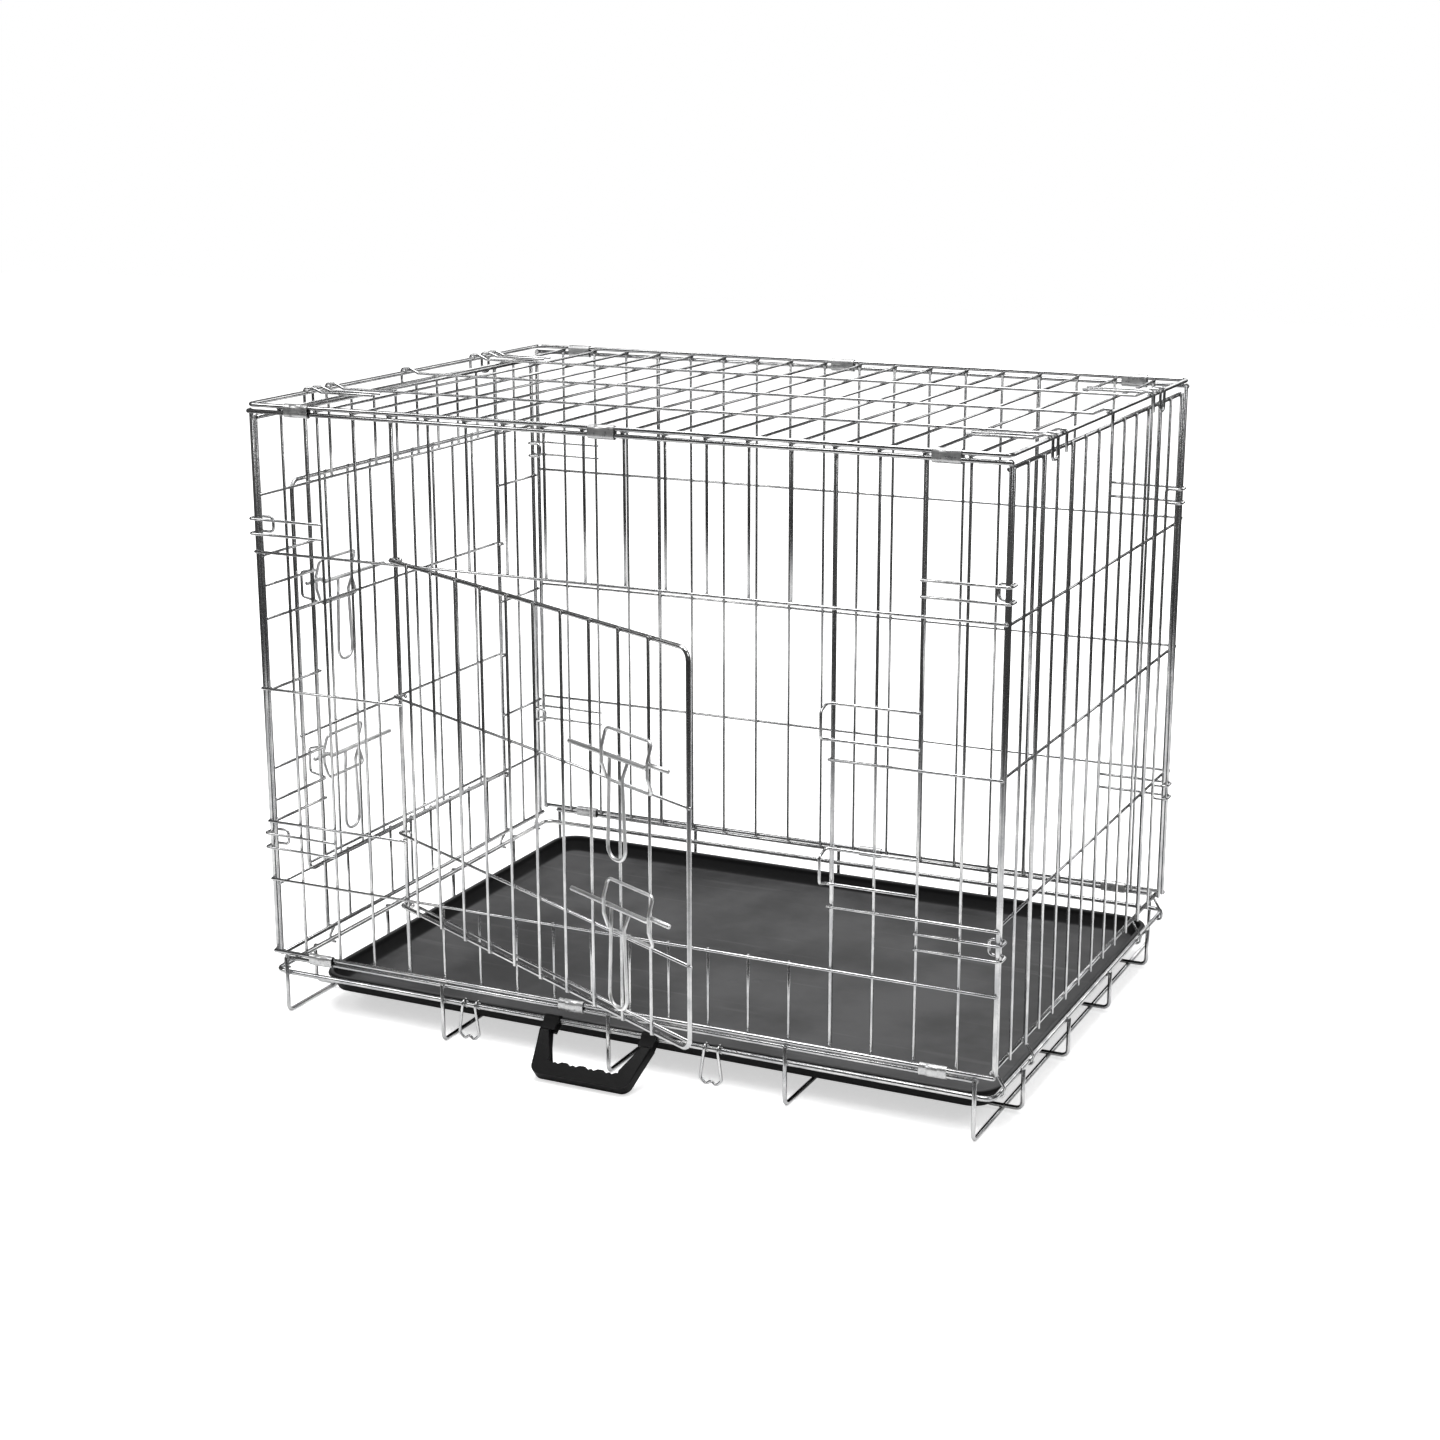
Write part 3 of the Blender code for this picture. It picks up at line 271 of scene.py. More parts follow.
class Wirework:
    """One welded piece of wires; its UV map keeps how far round and along a wire a place is, in mm."""

    def __init__(self):
        self.bm = bmesh.new()
        self.run = self.bm.loops.layers.uv.new("run")
        self.wires = 0

    def wire(self, points, radius=THIN_R, closed=False):
        points = [Vector(p) for p in points]
        sizes = [radius] * len(points)
        if not closed:
            first = (points[1] - points[0]).normalized() * radius * END_CHAMFER
            last = (points[-2] - points[-1]).normalized() * radius * END_CHAMFER
            points = [points[0], points[0] + first] + points[1:-1] + [points[-1] + last, points[-1]]
            sizes = [radius * END_SHARE] + [radius] * (len(points) - 2) + [radius * END_SHARE]
        count = len(points)
        stretches = count if closed else count - 1
        runs = [(points[(i + 1) % count] - points[i]).normalized() for i in range(stretches)]
        side = runs[0].orthogonal().normalized()
        rings = []
        for i in range(count):
            ahead = runs[i] if i < len(runs) else runs[-1]
            behind = runs[i - 1] if closed or i else runs[0]
            if i and i < len(runs):
                side = runs[i - 1].rotation_difference(runs[i]) @ side
            side = (side - side.dot(ahead) * ahead).normalized()
            other = ahead.cross(side)
            normal = (ahead + behind).normalized()
            ring = []
            for k in range(ROUND_SIDES):
                turn = 2 * pi * k / ROUND_SIDES
                offset = sizes[i] * (cos(turn) * side + sin(turn) * other)
                offset -= ahead * (offset.dot(normal) / ahead.dot(normal))
                ring.append(self.bm.verts.new(points[i] + offset))
            rings.append(ring)
        along = self.wires * RUN_APART
        self.wires += 1
        around = 2 * TO_MM * pi * radius / ROUND_SIDES
        for i in range(len(runs)):
            near, far = rings[i], rings[(i + 1) % count]
            step = (points[(i + 1) % count] - points[i]).length * TO_MM
            for k in range(ROUND_SIDES):
                n = (k + 1) % ROUND_SIDES
                face = self.bm.faces.new((near[k], near[n], far[n], far[k]))
                for loop, place in zip(face.loops, ((k, 0), (k + 1, 0), (k + 1, step), (k, step))):
                    loop[self.run].uv = (place[0] * around, along + place[1])
            along += step
        if not closed:
            self.bm.faces.new(list(reversed(rings[0])))
            self.bm.faces.new(rings[-1])

    def spot_weld(self, at, across, wide):
        """The flattened bead where two wires were pressed together; across goes from one to the other."""
        turn = Vector((0, 0, 1)).rotation_difference(Vector(across)).to_matrix().to_4x4()
        shape = Matrix.Translation(at) @ turn @ Matrix.Diagonal((wide, wide, wide * BEAD_FLATNESS, 1))
        made = bmesh.ops.create_icosphere(self.bm, subdivisions=1, radius=1.0, matrix=shape)
        for vert in made["verts"]:
            for face in vert.link_faces:
                face.material_index = 1

    def piece(self, name, body, nodes, place=None, finish="wire"):
        mesh = bpy.data.meshes.new(name)
        if place is not None:
            bmesh.ops.transform(self.bm, matrix=place, verts=self.bm.verts)
        bmesh.ops.recalc_face_normals(self.bm, faces=self.bm.faces)
        self.bm.to_mesh(mesh)
        self.bm.free()
        mesh.shade_smooth()
        mesh.set_sharp_from_angle(angle=radians(WIRE_SHARP))
        made = bpy.data.objects.new(name, mesh)
        bpy.context.scene.collection.objects.link(made)
        mesh.materials.append(zinc(name + "_zinc", finish))
        mesh.materials.append(weld_zinc(name + "_welds"))
        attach(made, body)
        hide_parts(*nodes)


ZINC_TONES = {
    "wire": ((0.46, 0.465, 0.475), (0.76, 0.76, 0.755), 0.12),
    "bolt": ((0.70, 0.705, 0.71), (0.92, 0.92, 0.915), 0.32),
    "sheet": ((0.50, 0.505, 0.515), (0.76, 0.76, 0.75), 0.24),
}
DIE_LINE_SHARE = 0.62
DULL_SPECK = (0.26, 0.265, 0.27)
WELD_DARK = (0.24, 0.245, 0.25)
WELD_LIGHT = (0.48, 0.48, 0.48)


def zinc(name, kind):
    """Bright zinc on drawn wire: cloudy tone, fine die lines along the wire and a few dull specks."""
    dark, light, gloss = ZINC_TONES[kind]
    finish = Finish(bpy.data.materials.new(name))
    here = finish.add("TexCoord", "Object")
    run = finish.add("UVMap", 0, {"uv_map": "run"})
    cloud = finish.noise(here, 42.0, 4.0, 0.6).between(0.34, 0.68)
    patches = finish.noise(here, 11.0, 2.0).between(0.42, 0.66)
    lines = finish.noise(run.stretched(2.6, 0.05), 1.0, 3.0, 0.6)
    specks = finish.noise(here, 900.0, 1.0).between(0.70, 0.78)
    tone = finish.mix(cloud * 0.7 + patches * 0.3, dark, light)
    tone = finish.mix(lines.between(0.5, 0.75) * 0.25, tone, tuple(c * DIE_LINE_SHARE for c in dark))
    tone = finish.mix(specks * 0.5, tone, DULL_SPECK)
    roughness = gloss + 0.10 * (1 - cloud) + 0.08 * lines + 0.2 * specks
    return finish.surface(tone, 1.0, roughness, finish.bump(0.2, 0.00004, lines + specks * 0.6))


def weld_zinc(name):
    """Zinc over a weld bead: duller and greyer than on the wire."""
    finish = Finish(bpy.data.materials.new(name))
    here = finish.add("TexCoord", "Object")
    grain = finish.noise(here, 700.0, 3.0, 0.6)
    tone = finish.mix(grain, WELD_DARK, WELD_LIGHT)
    return finish.surface(tone, 1.0, 0.34 + 0.2 * grain, finish.bump(0.4, 0.0001, grain))


RAIL_R = 0.0025
FOOT_R = 0.0020
FOOT_BEND = 0.006
BASE_CORNER_R = 0.010
UPPER_RAIL_UP = 0.0155
LOWER_RAIL_Z = joints["left_end_fold"]["pos_m"][2]
UPPER_RAIL_Z = LOWER_RAIL_Z + UPPER_RAIL_UP
SIDE_RAIL_X = joints["right_end_fold"]["pos_m"][0]
HALF_DEPTH = -joints["carry_handle_swing"]["pos_m"][1]
FOOT_OUT = (RAIL_R + FOOT_R) * WELD
UPPER_RAIL_OUT = FOOT_OUT - (FRAME_R + FOOT_R) * WELD
CROSS_FEET_X = (-0.364, -0.182, 0.0, 0.182, 0.364)
LONG_FEET_Y = (-0.204, -0.068, 0.068, 0.204)
FLAT_OF_EIGHT = cos(pi / 8)
CROSS_FOOT_Z = FOOT_R
LONG_FOOT_Z = FOOT_R * FLAT_OF_EIGHT + 2 * FOOT_R * WELD
CARRY_RISE_START = 0.032
CARRY_RISE_END = 0.047
CARRY_Z = 0.0162
LOWER_RAIL_WELD = 0.0031
UPPER_RAIL_WELD = 0.0029
THICK_WELD = 0.0028

basket = Wirework()
around = rectangle(SIDE_RAIL_X, HALF_DEPTH, LOWER_RAIL_Z)
basket.wire(bent(around, BASE_CORNER_R, closed=True), RAIL_R, closed=True)
for side in (-1, 1):
    y = side * (HALF_DEPTH + UPPER_RAIL_OUT)
    reach = max(CROSS_FEET_X) + FOOT_R
    basket.wire([(-reach, y, UPPER_RAIL_Z), (reach, y, UPPER_RAIL_Z)], FRAME_R)
for x in CROSS_FEET_X:
    out = HALF_DEPTH + FOOT_OUT
    top = UPPER_RAIL_Z + FOOT_R
    foot = [(x, -out, top), (x, -out, CROSS_FOOT_Z), (x, out, CROSS_FOOT_Z), (x, out, top)]
    basket.wire(bent(foot, FOOT_BEND), FOOT_R)
    for side in (-1, 1):
        y = side * (HALF_DEPTH + FOOT_OUT / 2)
        basket.spot_weld((x, y, LOWER_RAIL_Z), (0, 1, 0), LOWER_RAIL_WELD)
        basket.spot_weld((x, y, UPPER_RAIL_Z), (0, 1, 0), UPPER_RAIL_WELD)
for y in LONG_FEET_Y:
    out = SIDE_RAIL_X + FOOT_OUT
    foot = [(out - CARRY_RISE_END, y, CARRY_Z), (out - CARRY_RISE_START, y, LONG_FOOT_Z),
            (out, y, LONG_FOOT_Z), (out, y, LOWER_RAIL_Z + FOOT_R)]
    basket.wire(bent([(-x, y, z) for x, y, z in reversed(foot)] + foot, FOOT_BEND), FOOT_R)
    for side in (-1, 1):
        rail_weld = (side * (SIDE_RAIL_X + FOOT_OUT / 2), y, LOWER_RAIL_Z)
        basket.spot_weld(rail_weld, (1, 0, 0), LOWER_RAIL_WELD)
        floor_weld = (side * max(CROSS_FEET_X), y, (CROSS_FOOT_Z + LONG_FOOT_Z) / 2)
        basket.spot_weld(floor_weld, (0, 0, 1), THICK_WELD)
basket.piece("base_basket", "cage", ["base_frame"])


# Tray: one sheet of black plastic, vacuum formed into a pan with sloping walls and a rolled rim.
# It lies loose on the floor wires.

DENT_R = 0.0062
DENT_FLAT_R = 0.35 * DENT_R
DENT_DEPTH = 0.0007
TRAY_BLACK = (0.006, 0.006, 0.0063)
# The lighter tone of the tray's upward faces: partly dust, partly painted light from the lamp above.
TRAY_DUST_AND_TOP_LIGHT = (0.108, 0.108, 0.110)


def black_plastic(name, tone, dust_and_top_light, gloss, shine, grain_scale, grain_depth, dents=()):
    """Black moulded plastic with a fine grain, faint scuffs, small dents, and upward faces lightened partly
    by dust and partly by painted light from above.
    """
    finish = Finish(bpy.data.materials.new(name))
    here = finish.add("TexCoord", "Object")
    grain = finish.noise(here, grain_scale, 2.0, 0.6)
    clouds = finish.noise(here, 7.0, 4.0, 0.6).between(0.35, 0.70)
    streaks = finish.noise(here.stretched(5.0, 90.0, 60.0), 1.0, 3.0, 0.55).between(0.58, 0.74)
    facing = finish.add("NewGeometry", "Normal")
    # Upward faces are mixed towards the lighter tone, partly dust and partly painted top light, so that
    # floors read lighter than walls.
    upward = finish.add("SeparateXYZ", "Z", None, {0: facing}).between(0.62, 0.99)
    dust_and_top_light_share = upward * (0.35 + 0.45 * clouds) + upward * streaks * 0.14
    roughness = gloss + 0.12 * clouds + 0.08 * grain - 0.06 * streaks
    grained = finish.bump(0.5, grain_depth, grain)
    for dent in dents:
        pressed = here.from_point(dent).between(DENT_FLAT_R, DENT_R)
        grained = finish.add("Bump", 0, None, {
            "Strength": 0.6, "Distance": DENT_DEPTH, "Height": pressed, "Normal": grained})
    finish.feed(finish.tree.nodes["Principled BSDF"].inputs["Specular IOR Level"], shine)
    return finish.surface(finish.mix(dust_and_top_light_share, tone, dust_and_top_light), 0.0, roughness, grained)


def plain_piece(name, bm, body, nodes, material, sharp):
    mesh = bpy.data.meshes.new(name)
    bmesh.ops.recalc_face_normals(bm, faces=bm.faces)
    bm.to_mesh(mesh)
    bm.free()
    mesh.shade_smooth()
    mesh.set_sharp_from_angle(angle=radians(sharp))
    mesh.materials.append(material)
    made = bpy.data.objects.new(name, mesh)
    bpy.context.scene.collection.objects.link(made)
    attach(made, body)
    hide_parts(*nodes)


def join_rings(bm, rings):
    """A band of faces from each ring of corners to the next."""
    for near, far in zip(rings, rings[1:]):
        for k in range(len(near)):
            n = (k + 1) % len(near)
            bm.faces.new((near[k], near[n], far[n], far[k]))


TRAY_CORNER_R = 0.030
LEAST_CORNER_R = 0.004
CORNER_STEPS = 12
TRAY_WALL = 0.0024
TRAY_TAPER = 0.009
TRAY_LIP = 0.0045
TRAY_DENTS = ((0.0264, -0.0603), (0.0486, -0.0499), (0.0214, 0.0273))
tray_low, tray_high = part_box("tray")
tray_middle = (tray_low + tray_high) / 2
RIM_RISE = 0.0038
RIM_BASE = 0.0004
RIM_EDGE = 0.0010
RIM_UNDER = 0.0006
RIM_FLARE = 0.0004
OUTER_TURN_DOWN = 0.0014
INNER_TURN_DOWN = 0.002
RIM_ROLL = tray_high.z - tray_low.z - RIM_RISE - RIM_BASE
UNDER_FILLET = ((0.012, 0.0), (0.0022, 0.0), (0.0008, 0.0006), (0.0, 0.002))
FLOOR_FILLET = ((0.0006, 0.0040), (0.0018, 0.0018), (0.0040, 0.0005), (0.0070, 0.0))
PANEL_INSET = 0.030
PANEL_SLOPE = 0.0015
PANEL_EDGE = 0.040
PANEL_SINK = 0.0004


def tray_section():
    """The tray's section from under its floor, out round the rolled rim and back in over the floor."""
    section = [(TRAY_TAPER + inset, up) for inset, up in UNDER_FILLET]
    section += [(TRAY_LIP + RIM_FLARE, RIM_ROLL - OUTER_TURN_DOWN),
                (TRAY_LIP - RIM_UNDER, RIM_ROLL - RIM_UNDER), (RIM_EDGE, RIM_ROLL - RIM_UNDER)]
    middle = TRAY_LIP / 2 + RIM_EDGE
    for turn in range(180, -1, -15):
        rise = RIM_ROLL + RIM_BASE + RIM_RISE * sin(radians(turn))
        section.append((middle - middle * cos(radians(180 - turn)), rise))
    section.append((TRAY_LIP + TRAY_WALL + RIM_FLARE, RIM_ROLL - INNER_TURN_DOWN))
    section += [(TRAY_TAPER + TRAY_WALL + inset, TRAY_WALL + up) for inset, up in FLOOR_FILLET]
    section += [(PANEL_INSET, TRAY_WALL), (PANEL_INSET + PANEL_SLOPE, TRAY_WALL - PANEL_SINK),
                (PANEL_EDGE, TRAY_WALL - PANEL_SINK)]
    return section


pan = bmesh.new()
rings = []
for inset, z in tray_section():
    ring = []
    half_x = (tray_high.x - tray_low.x) / 2 - inset
    half_y = (tray_high.y - tray_low.y) / 2 - inset
    corner = max(TRAY_CORNER_R - inset, LEAST_CORNER_R)
    for sx, sy, start in ((1, 1, 0), (-1, 1, 90), (-1, -1, 180), (1, -1, 270)):
        for k in range(CORNER_STEPS + 1):
            turn = radians(start + 90 * k / CORNER_STEPS)
            ring.append(pan.verts.new((tray_middle.x + sx * (half_x - corner) + corner * cos(turn),
                                       tray_middle.y + sy * (half_y - corner) + corner * sin(turn),
                                       tray_low.z + z)))
    rings.append(ring)
join_rings(pan, rings)
pan.faces.new(list(reversed(rings[0])))
pan.faces.new(rings[-1])
dents = [(x, y, tray_low.z + TRAY_WALL) for x, y in TRAY_DENTS]
tray_black = black_plastic("tray_black", TRAY_BLACK, TRAY_DUST_AND_TOP_LIGHT, 0.46, 0.14, 1400.0, 0.00012, dents)
plain_piece("tray_pan", pan, "tray", ["tray"], tray_black, 50)


# Long grids: front and back. Rails on the outside, uprights on the inside, spot welded where they cross.
# The front one leaves a doorway between two thick uprights, with a sill under it.

OVERRUN = 0.0015
STRIP_OVERRUN = 0.0035
EDGE_PITCH = 0.0345
CELLS = 19
HINGE_JAMB = 4
LOCK_JAMB = 15
WELD_SPREAD = 0.8004
TOUCH_SHARE = FRAME_R / (FRAME_R + THIN_R)
UPRIGHT_IN = (FRAME_R + THIN_R) * WELD
THICK_IN = 2 * FRAME_R * WELD
MID_IN = UPRIGHT_IN - 2 * THIN_R * WELD
grid_low, grid_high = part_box("back_panel")
HALF_LENGTH = grid_high.x - FRAME_R
BOTTOM_RAIL_Z = grid_low.z + OVERRUN
GRID_HEIGHT = grid_high.z - grid_low.z - 2 * OVERRUN
RAIL_SPACING = GRID_HEIGHT / 4
PITCH = (2 * HALF_LENGTH - 2 * EDGE_PITCH) / (CELLS - 2)
SILL_UP = 0.0757


def column_x(index):
    """Where an upright of a long grid stands, counted from its left edge."""
    if index == 0:
        return -HALF_LENGTH
    if index == CELLS:
        return HALF_LENGTH
    return -HALF_LENGTH + EDGE_PITCH + (index - 1) * PITCH


def crossing_welds(work, rails, uprights):
    """A weld wherever a rail crosses an upright; both are given as place, two ends, inward, radius."""
    for height, start, end, rail_in, rail_r in rails:
        for across, low, high, upright_in, upright_r in uprights:
            if start <= across <= end and low <= height <= high:
                middle = rail_in + (upright_in - rail_in) * rail_r / (rail_r + upright_r)
                work.spot_weld((across, middle, height), (0, 1, 0), WELD_SPREAD * (rail_r + upright_r))


def grid_piece(name, body, nodes, rails, uprights, place, extra=None):
    work = Wirework()
    for height, start, end, inward, radius in rails:
        work.wire([(start, inward, height), (end, inward, height)], radius)
    for across, low, high, inward, radius in uprights:
        work.wire([(across, inward, low), (across, inward, high)], radius)
    crossing_welds(work, rails, uprights)
    if extra:
        extra(work)
    work.piece(name, body, nodes, place)


def long_grid(name, node, doorway, place):
    half = HALF_LENGTH + FRAME_R
    rails = [(z, -half, half, 0.0, FRAME_R) for z in (0.0, GRID_HEIGHT)]
    rails.append((3 * RAIL_SPACING, -half, half, MID_IN, THIN_R))
    if doorway:
        rails.append((SILL_UP, -half, half, MID_IN, THIN_R))
    for z in (RAIL_SPACING, 2 * RAIL_SPACING):
        if doorway:
            rails.append((z, -half, column_x(HINGE_JAMB) + STRIP_OVERRUN, MID_IN, THIN_R))
            rails.append((z, column_x(LOCK_JAMB) - STRIP_OVERRUN, half, MID_IN, THIN_R))
        else:
            rails.append((z, -half, half, MID_IN, THIN_R))
    uprights = []
    low, high = -OVERRUN, GRID_HEIGHT + OVERRUN
    for index in range(CELLS + 1):
        x = column_x(index)
        if index in (0, HINGE_JAMB, LOCK_JAMB, CELLS):
            uprights.append((x, low, high, THICK_IN, FRAME_R))
        elif doorway and HINGE_JAMB < index < LOCK_JAMB:
            uprights.append((x, low, SILL_UP + OVERRUN, UPRIGHT_IN, THIN_R))
            uprights.append((x, 3 * RAIL_SPACING - OVERRUN, high, UPRIGHT_IN, THIN_R))
        else:
            uprights.append((x, low, high, UPRIGHT_IN, THIN_R))
    grid_piece(name, "cage", [node], rails, uprights, place)


long_grid("front_grid", "front_panel", True, Matrix.Translation((0, -HALF_DEPTH, BOTTOM_RAIL_Z)))
long_grid("back_grid", "back_panel", False,
          Matrix.Translation((0, HALF_DEPTH, BOTTOM_RAIL_Z)) @ Matrix.Rotation(pi, 4, "Z"))


# Top grid: one long wire bent to a frame, cross wires under it and three long wires over those.
# The long wires' ends climb over the frame and hook down outside the end grids.

top_low, top_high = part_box("top_panel")
TIP_IN = THIN_R * cos(pi / 6)
OVER_END = 0.00395
LONG_HOOK_DROP = 0.020
LID_Z = top_low.z + LONG_HOOK_DROP - OVER_END
LID_CORNER_R = 0.006
CLIMB_START = 0.014
CLIMB_END = 0.004
LID_HOOK_BEND = 0.004
THIN_WELD = 0.0023
LID_HOOK_WELD = 0.0027

lid = Wirework()
lid.wire(bent(rectangle(HALF_LENGTH, HALF_DEPTH, 0), LID_CORNER_R, closed=True), FRAME_R, closed=True)
edge = HALF_DEPTH + OVERRUN
for index in range(1, CELLS):
    x = column_x(index)
    lid.wire([(x, -edge, -UPRIGHT_IN), (x, edge, -UPRIGHT_IN)])
    for side in (-1, 1):
        lid.spot_weld((x, side * HALF_DEPTH, -UPRIGHT_IN * TOUCH_SHARE), (0, 0, 1), THICK_WELD)
    for quarter in (-1, 0, 1):
        lid.spot_weld((x, quarter * HALF_DEPTH / 2, -UPRIGHT_IN + THIN_R * WELD), (0, 0, 1), THIN_WELD)
for quarter in (-1, 0, 1):
    y = quarter * HALF_DEPTH / 2
    over = []
    for side, tip in ((-1, top_low.x + TIP_IN), (1, top_high.x - TIP_IN)):
        climb_from = side * (HALF_LENGTH - CLIMB_START)
        climb_to = side * (HALF_LENGTH - CLIMB_END)
        hook = [(climb_from, y, -MID_IN), (climb_to, y, OVER_END),
                (tip, y, OVER_END), (tip, y, OVER_END - LONG_HOOK_DROP)]
        over += hook if side > 0 else reversed(hook)
        lid.spot_weld((side * HALF_LENGTH, y, OVER_END * TOUCH_SHARE), (0, 0, 1), LID_HOOK_WELD)
    lid.wire(bent(over, LID_HOOK_BEND))
lid.piece("top_grid", "cage", ["top_panel"], Matrix.Translation((0, 0, LID_Z)))


# End grids: rails inside, uprights outside, so that they fold in flat between the long grids.
# Four bent hooks under each one turn round the side rail of the base; the left one has a doorway.

END_CELLS = 13
END_UP = 0.536
END_HINGE_JAMB = 2
END_LOCK_JAMB = 11
END_SILL = 0.068
END_LINTEL = 0.461
VERTICAL_FOOT = 0.003
LEFT_LOW = 0.0055
HOOK_INSET = 0.0075
HOOK_GAP = 0.0005
HOOK_NECK_UP = 0.003
HOOK_TURN = 120
END_HOOK_WELD = 0.0026
END_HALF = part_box("right_end_panel")[1].y - FRAME_R
END_PITCH = 2 * END_HALF / END_CELLS
BOTTOM_UP = BOTTOM_RAIL_Z - LOWER_RAIL_Z
END_RAIL_SPACING = END_UP / 4
RIGHT_BACK = SIDE_RAIL_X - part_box("right_end_panel")[0].x - FRAME_R
LEFT_BACK = SIDE_RAIL_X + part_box("left_end_panel")[1].x - FRAME_R
HOOK_RING = RAIL_R + HOOK_GAP + THIN_R


def end_column(index):
    return -END_HALF + index * END_PITCH


def end_grid(name, node, body, rails_at, strips_at, doorway, back, low_by, place):
    half = END_HALF + FRAME_R
    foot = BOTTOM_UP - low_by
    rails = [(z, -half, half, back, FRAME_R) for z in (foot, BOTTOM_UP + END_UP)]
    rails += [(BOTTOM_UP + z, -half, half, back - MID_IN, THIN_R) for z in rails_at]
    hinge_side = end_column(END_HINGE_JAMB) + STRIP_OVERRUN
    lock_side = end_column(END_LOCK_JAMB) - STRIP_OVERRUN
    for z in strips_at:
        rails.append((BOTTOM_UP + z, -half, hinge_side, back - MID_IN, THIN_R))
        rails.append((BOTTOM_UP + z, lock_side, half, back - MID_IN, THIN_R))
    uprights = []
    low, high = foot - VERTICAL_FOOT, BOTTOM_UP + END_UP + OVERRUN
    for index in range(END_CELLS + 1):
        a = end_column(index)
        if index in (0, END_HINGE_JAMB, END_LOCK_JAMB, END_CELLS):
            uprights.append((a, low, high, back - THICK_IN, FRAME_R))
        elif doorway and END_HINGE_JAMB < index < END_LOCK_JAMB:
            uprights.append((a, low, BOTTOM_UP + END_SILL + OVERRUN, back - UPRIGHT_IN, THIN_R))
            uprights.append((a, BOTTOM_UP + END_LINTEL - OVERRUN, high, back - UPRIGHT_IN, THIN_R))
        else:
            uprights.append((a, low, high, back - UPRIGHT_IN, THIN_R))

    def hooks(work):
        outer = END_HALF - HOOK_INSET
        inner = end_column(END_HINGE_JAMB) + HOOK_INSET
        for a in (-outer, inner, -inner, outer):
            path = [(a, back, foot), (a, -HOOK_RING, HOOK_NECK_UP)]
            for turn in range(0, HOOK_TURN + 1, 12):
                path.append((a, -HOOK_RING * cos(radians(turn)), -HOOK_RING * sin(radians(turn))))
            work.wire(path)
            work.spot_weld((a, back, foot), (0, 1, 0), END_HOOK_WELD)

    grid_piece(name, body, [node], rails, uprights, place, hooks)


quarters = [END_RAIL_SPACING * k for k in (1, 2, 3)]
RIGHT_PLACE = Matrix.Translation((SIDE_RAIL_X, 0, LOWER_RAIL_Z)) @ Matrix.Rotation(pi / 2, 4, "Z")
LEFT_PLACE = Matrix.Translation((-SIDE_RAIL_X, 0, LOWER_RAIL_Z)) @ Matrix.Rotation(-pi / 2, 4, "Z")
end_grid("right_end_grid", "right_end_panel", "right_end", quarters, [], False,
         RIGHT_BACK, 0.0, RIGHT_PLACE)
end_grid("left_end_grid", "left_end_panel", "left_end", [END_SILL, END_LINTEL], quarters, True,
         LEFT_BACK, LEFT_LOW, LEFT_PLACE)


# Catches: thin wires bent to a closed end. Those of the long grids reach round the end grids' corner wires,
# those of the top grid hook over the end grids' top rails. They spring aside when an end is folded in.

CATCH_BEND = 0.0040
CATCH_RETURN = 0.0160
CATCH_GAP = 0.0003


def catch_reach(low, high, side):
    """Where a catch's closed end and its legs' ends stand; side is 1 on the right and -1 on the left."""
    if side > 0:
        return high.x - THIN_R, low.x
    return low.x + THIN_R, high.x


def loop_wire(name, node, half, path):
    """A wire that runs out along path and comes back beside it; half is half the way between its legs."""
    out = [Vector(p) + Vector(half) for p in path]
    back = [Vector(p) - Vector(half) for p in reversed(path)]
    work = Wirework()
    work.wire(bent(out + back, CATCH_BEND))
    work.piece(name, "cage", [node])


for face in ("front", "back"):
    for side_name, side in (("left", -1), ("right", 1)):
        for level in ("lower", "upper"):
            node = "%s_%s_%s_catch" % (face, side_name, level)
            low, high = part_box(node)
            tip, leg = catch_reach(low, high, side)
            plane, inner = low.y + THIN_R, high.y - THIN_R
            if face == "back":
                plane, inner = inner, plane
            middle = (low.z + high.z) / 2
            half = (high.z - low.z) / 2 - THIN_R
            path = [(leg, plane, middle), (tip, plane, middle), (tip, inner, middle),
                    (tip - side * CATCH_RETURN, inner, middle)]
            loop_wire(node.replace("_catch", "_corner_catch"), node, (0, 0, half), path)

for side_name, side in (("left", -1), ("right", 1)):
    for face in ("front", "back"):
        node = "%s_%s_top_catch" % (side_name, face)
        low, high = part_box(node)
        y = (low.y + high.y) / 2
        half = (high.y - low.y) / 2 - THIN_R
        tip, leg = catch_reach(low, high, side)
        lying = LID_Z + THIN_R + CATCH_GAP - UPRIGHT_IN + THIN_R
        over = high.z - THIN_R
        path = [(leg, y, lying), (side * (HALF_LENGTH - CLIMB_START), y, lying),
                (side * (HALF_LENGTH - CLIMB_END), y, over), (tip, y, over), (tip, y, low.z + THIN_R)]
        loop_wire(node + "_wire", node, (0, half, 0), path)


# Keepers: the bolts shoot through these. Two legs lie across the uprights beside the doorway,
# and the closed end stands out past the jamb wire.

KEEPER_NARROWS = 0.004


def keeper_wire(name, body, node, leg_end, tip, inner, outer, low_z, high_z, along):
    """A keeper from its legs' ends to its tip, between its inner and outer planes; along makes a point."""
    top, bottom = high_z - THIN_R, low_z + THIN_R
    path = [along(leg_end, inner, top), along(tip, inner, top), along(tip, outer, top - KEEPER_NARROWS),
            along(tip, outer, bottom + KEEPER_NARROWS), along(tip, inner, bottom),
            along(leg_end, inner, bottom)]
    work = Wirework()
    work.wire(bent(path, CATCH_BEND))
    work.piece(name, body, [node])


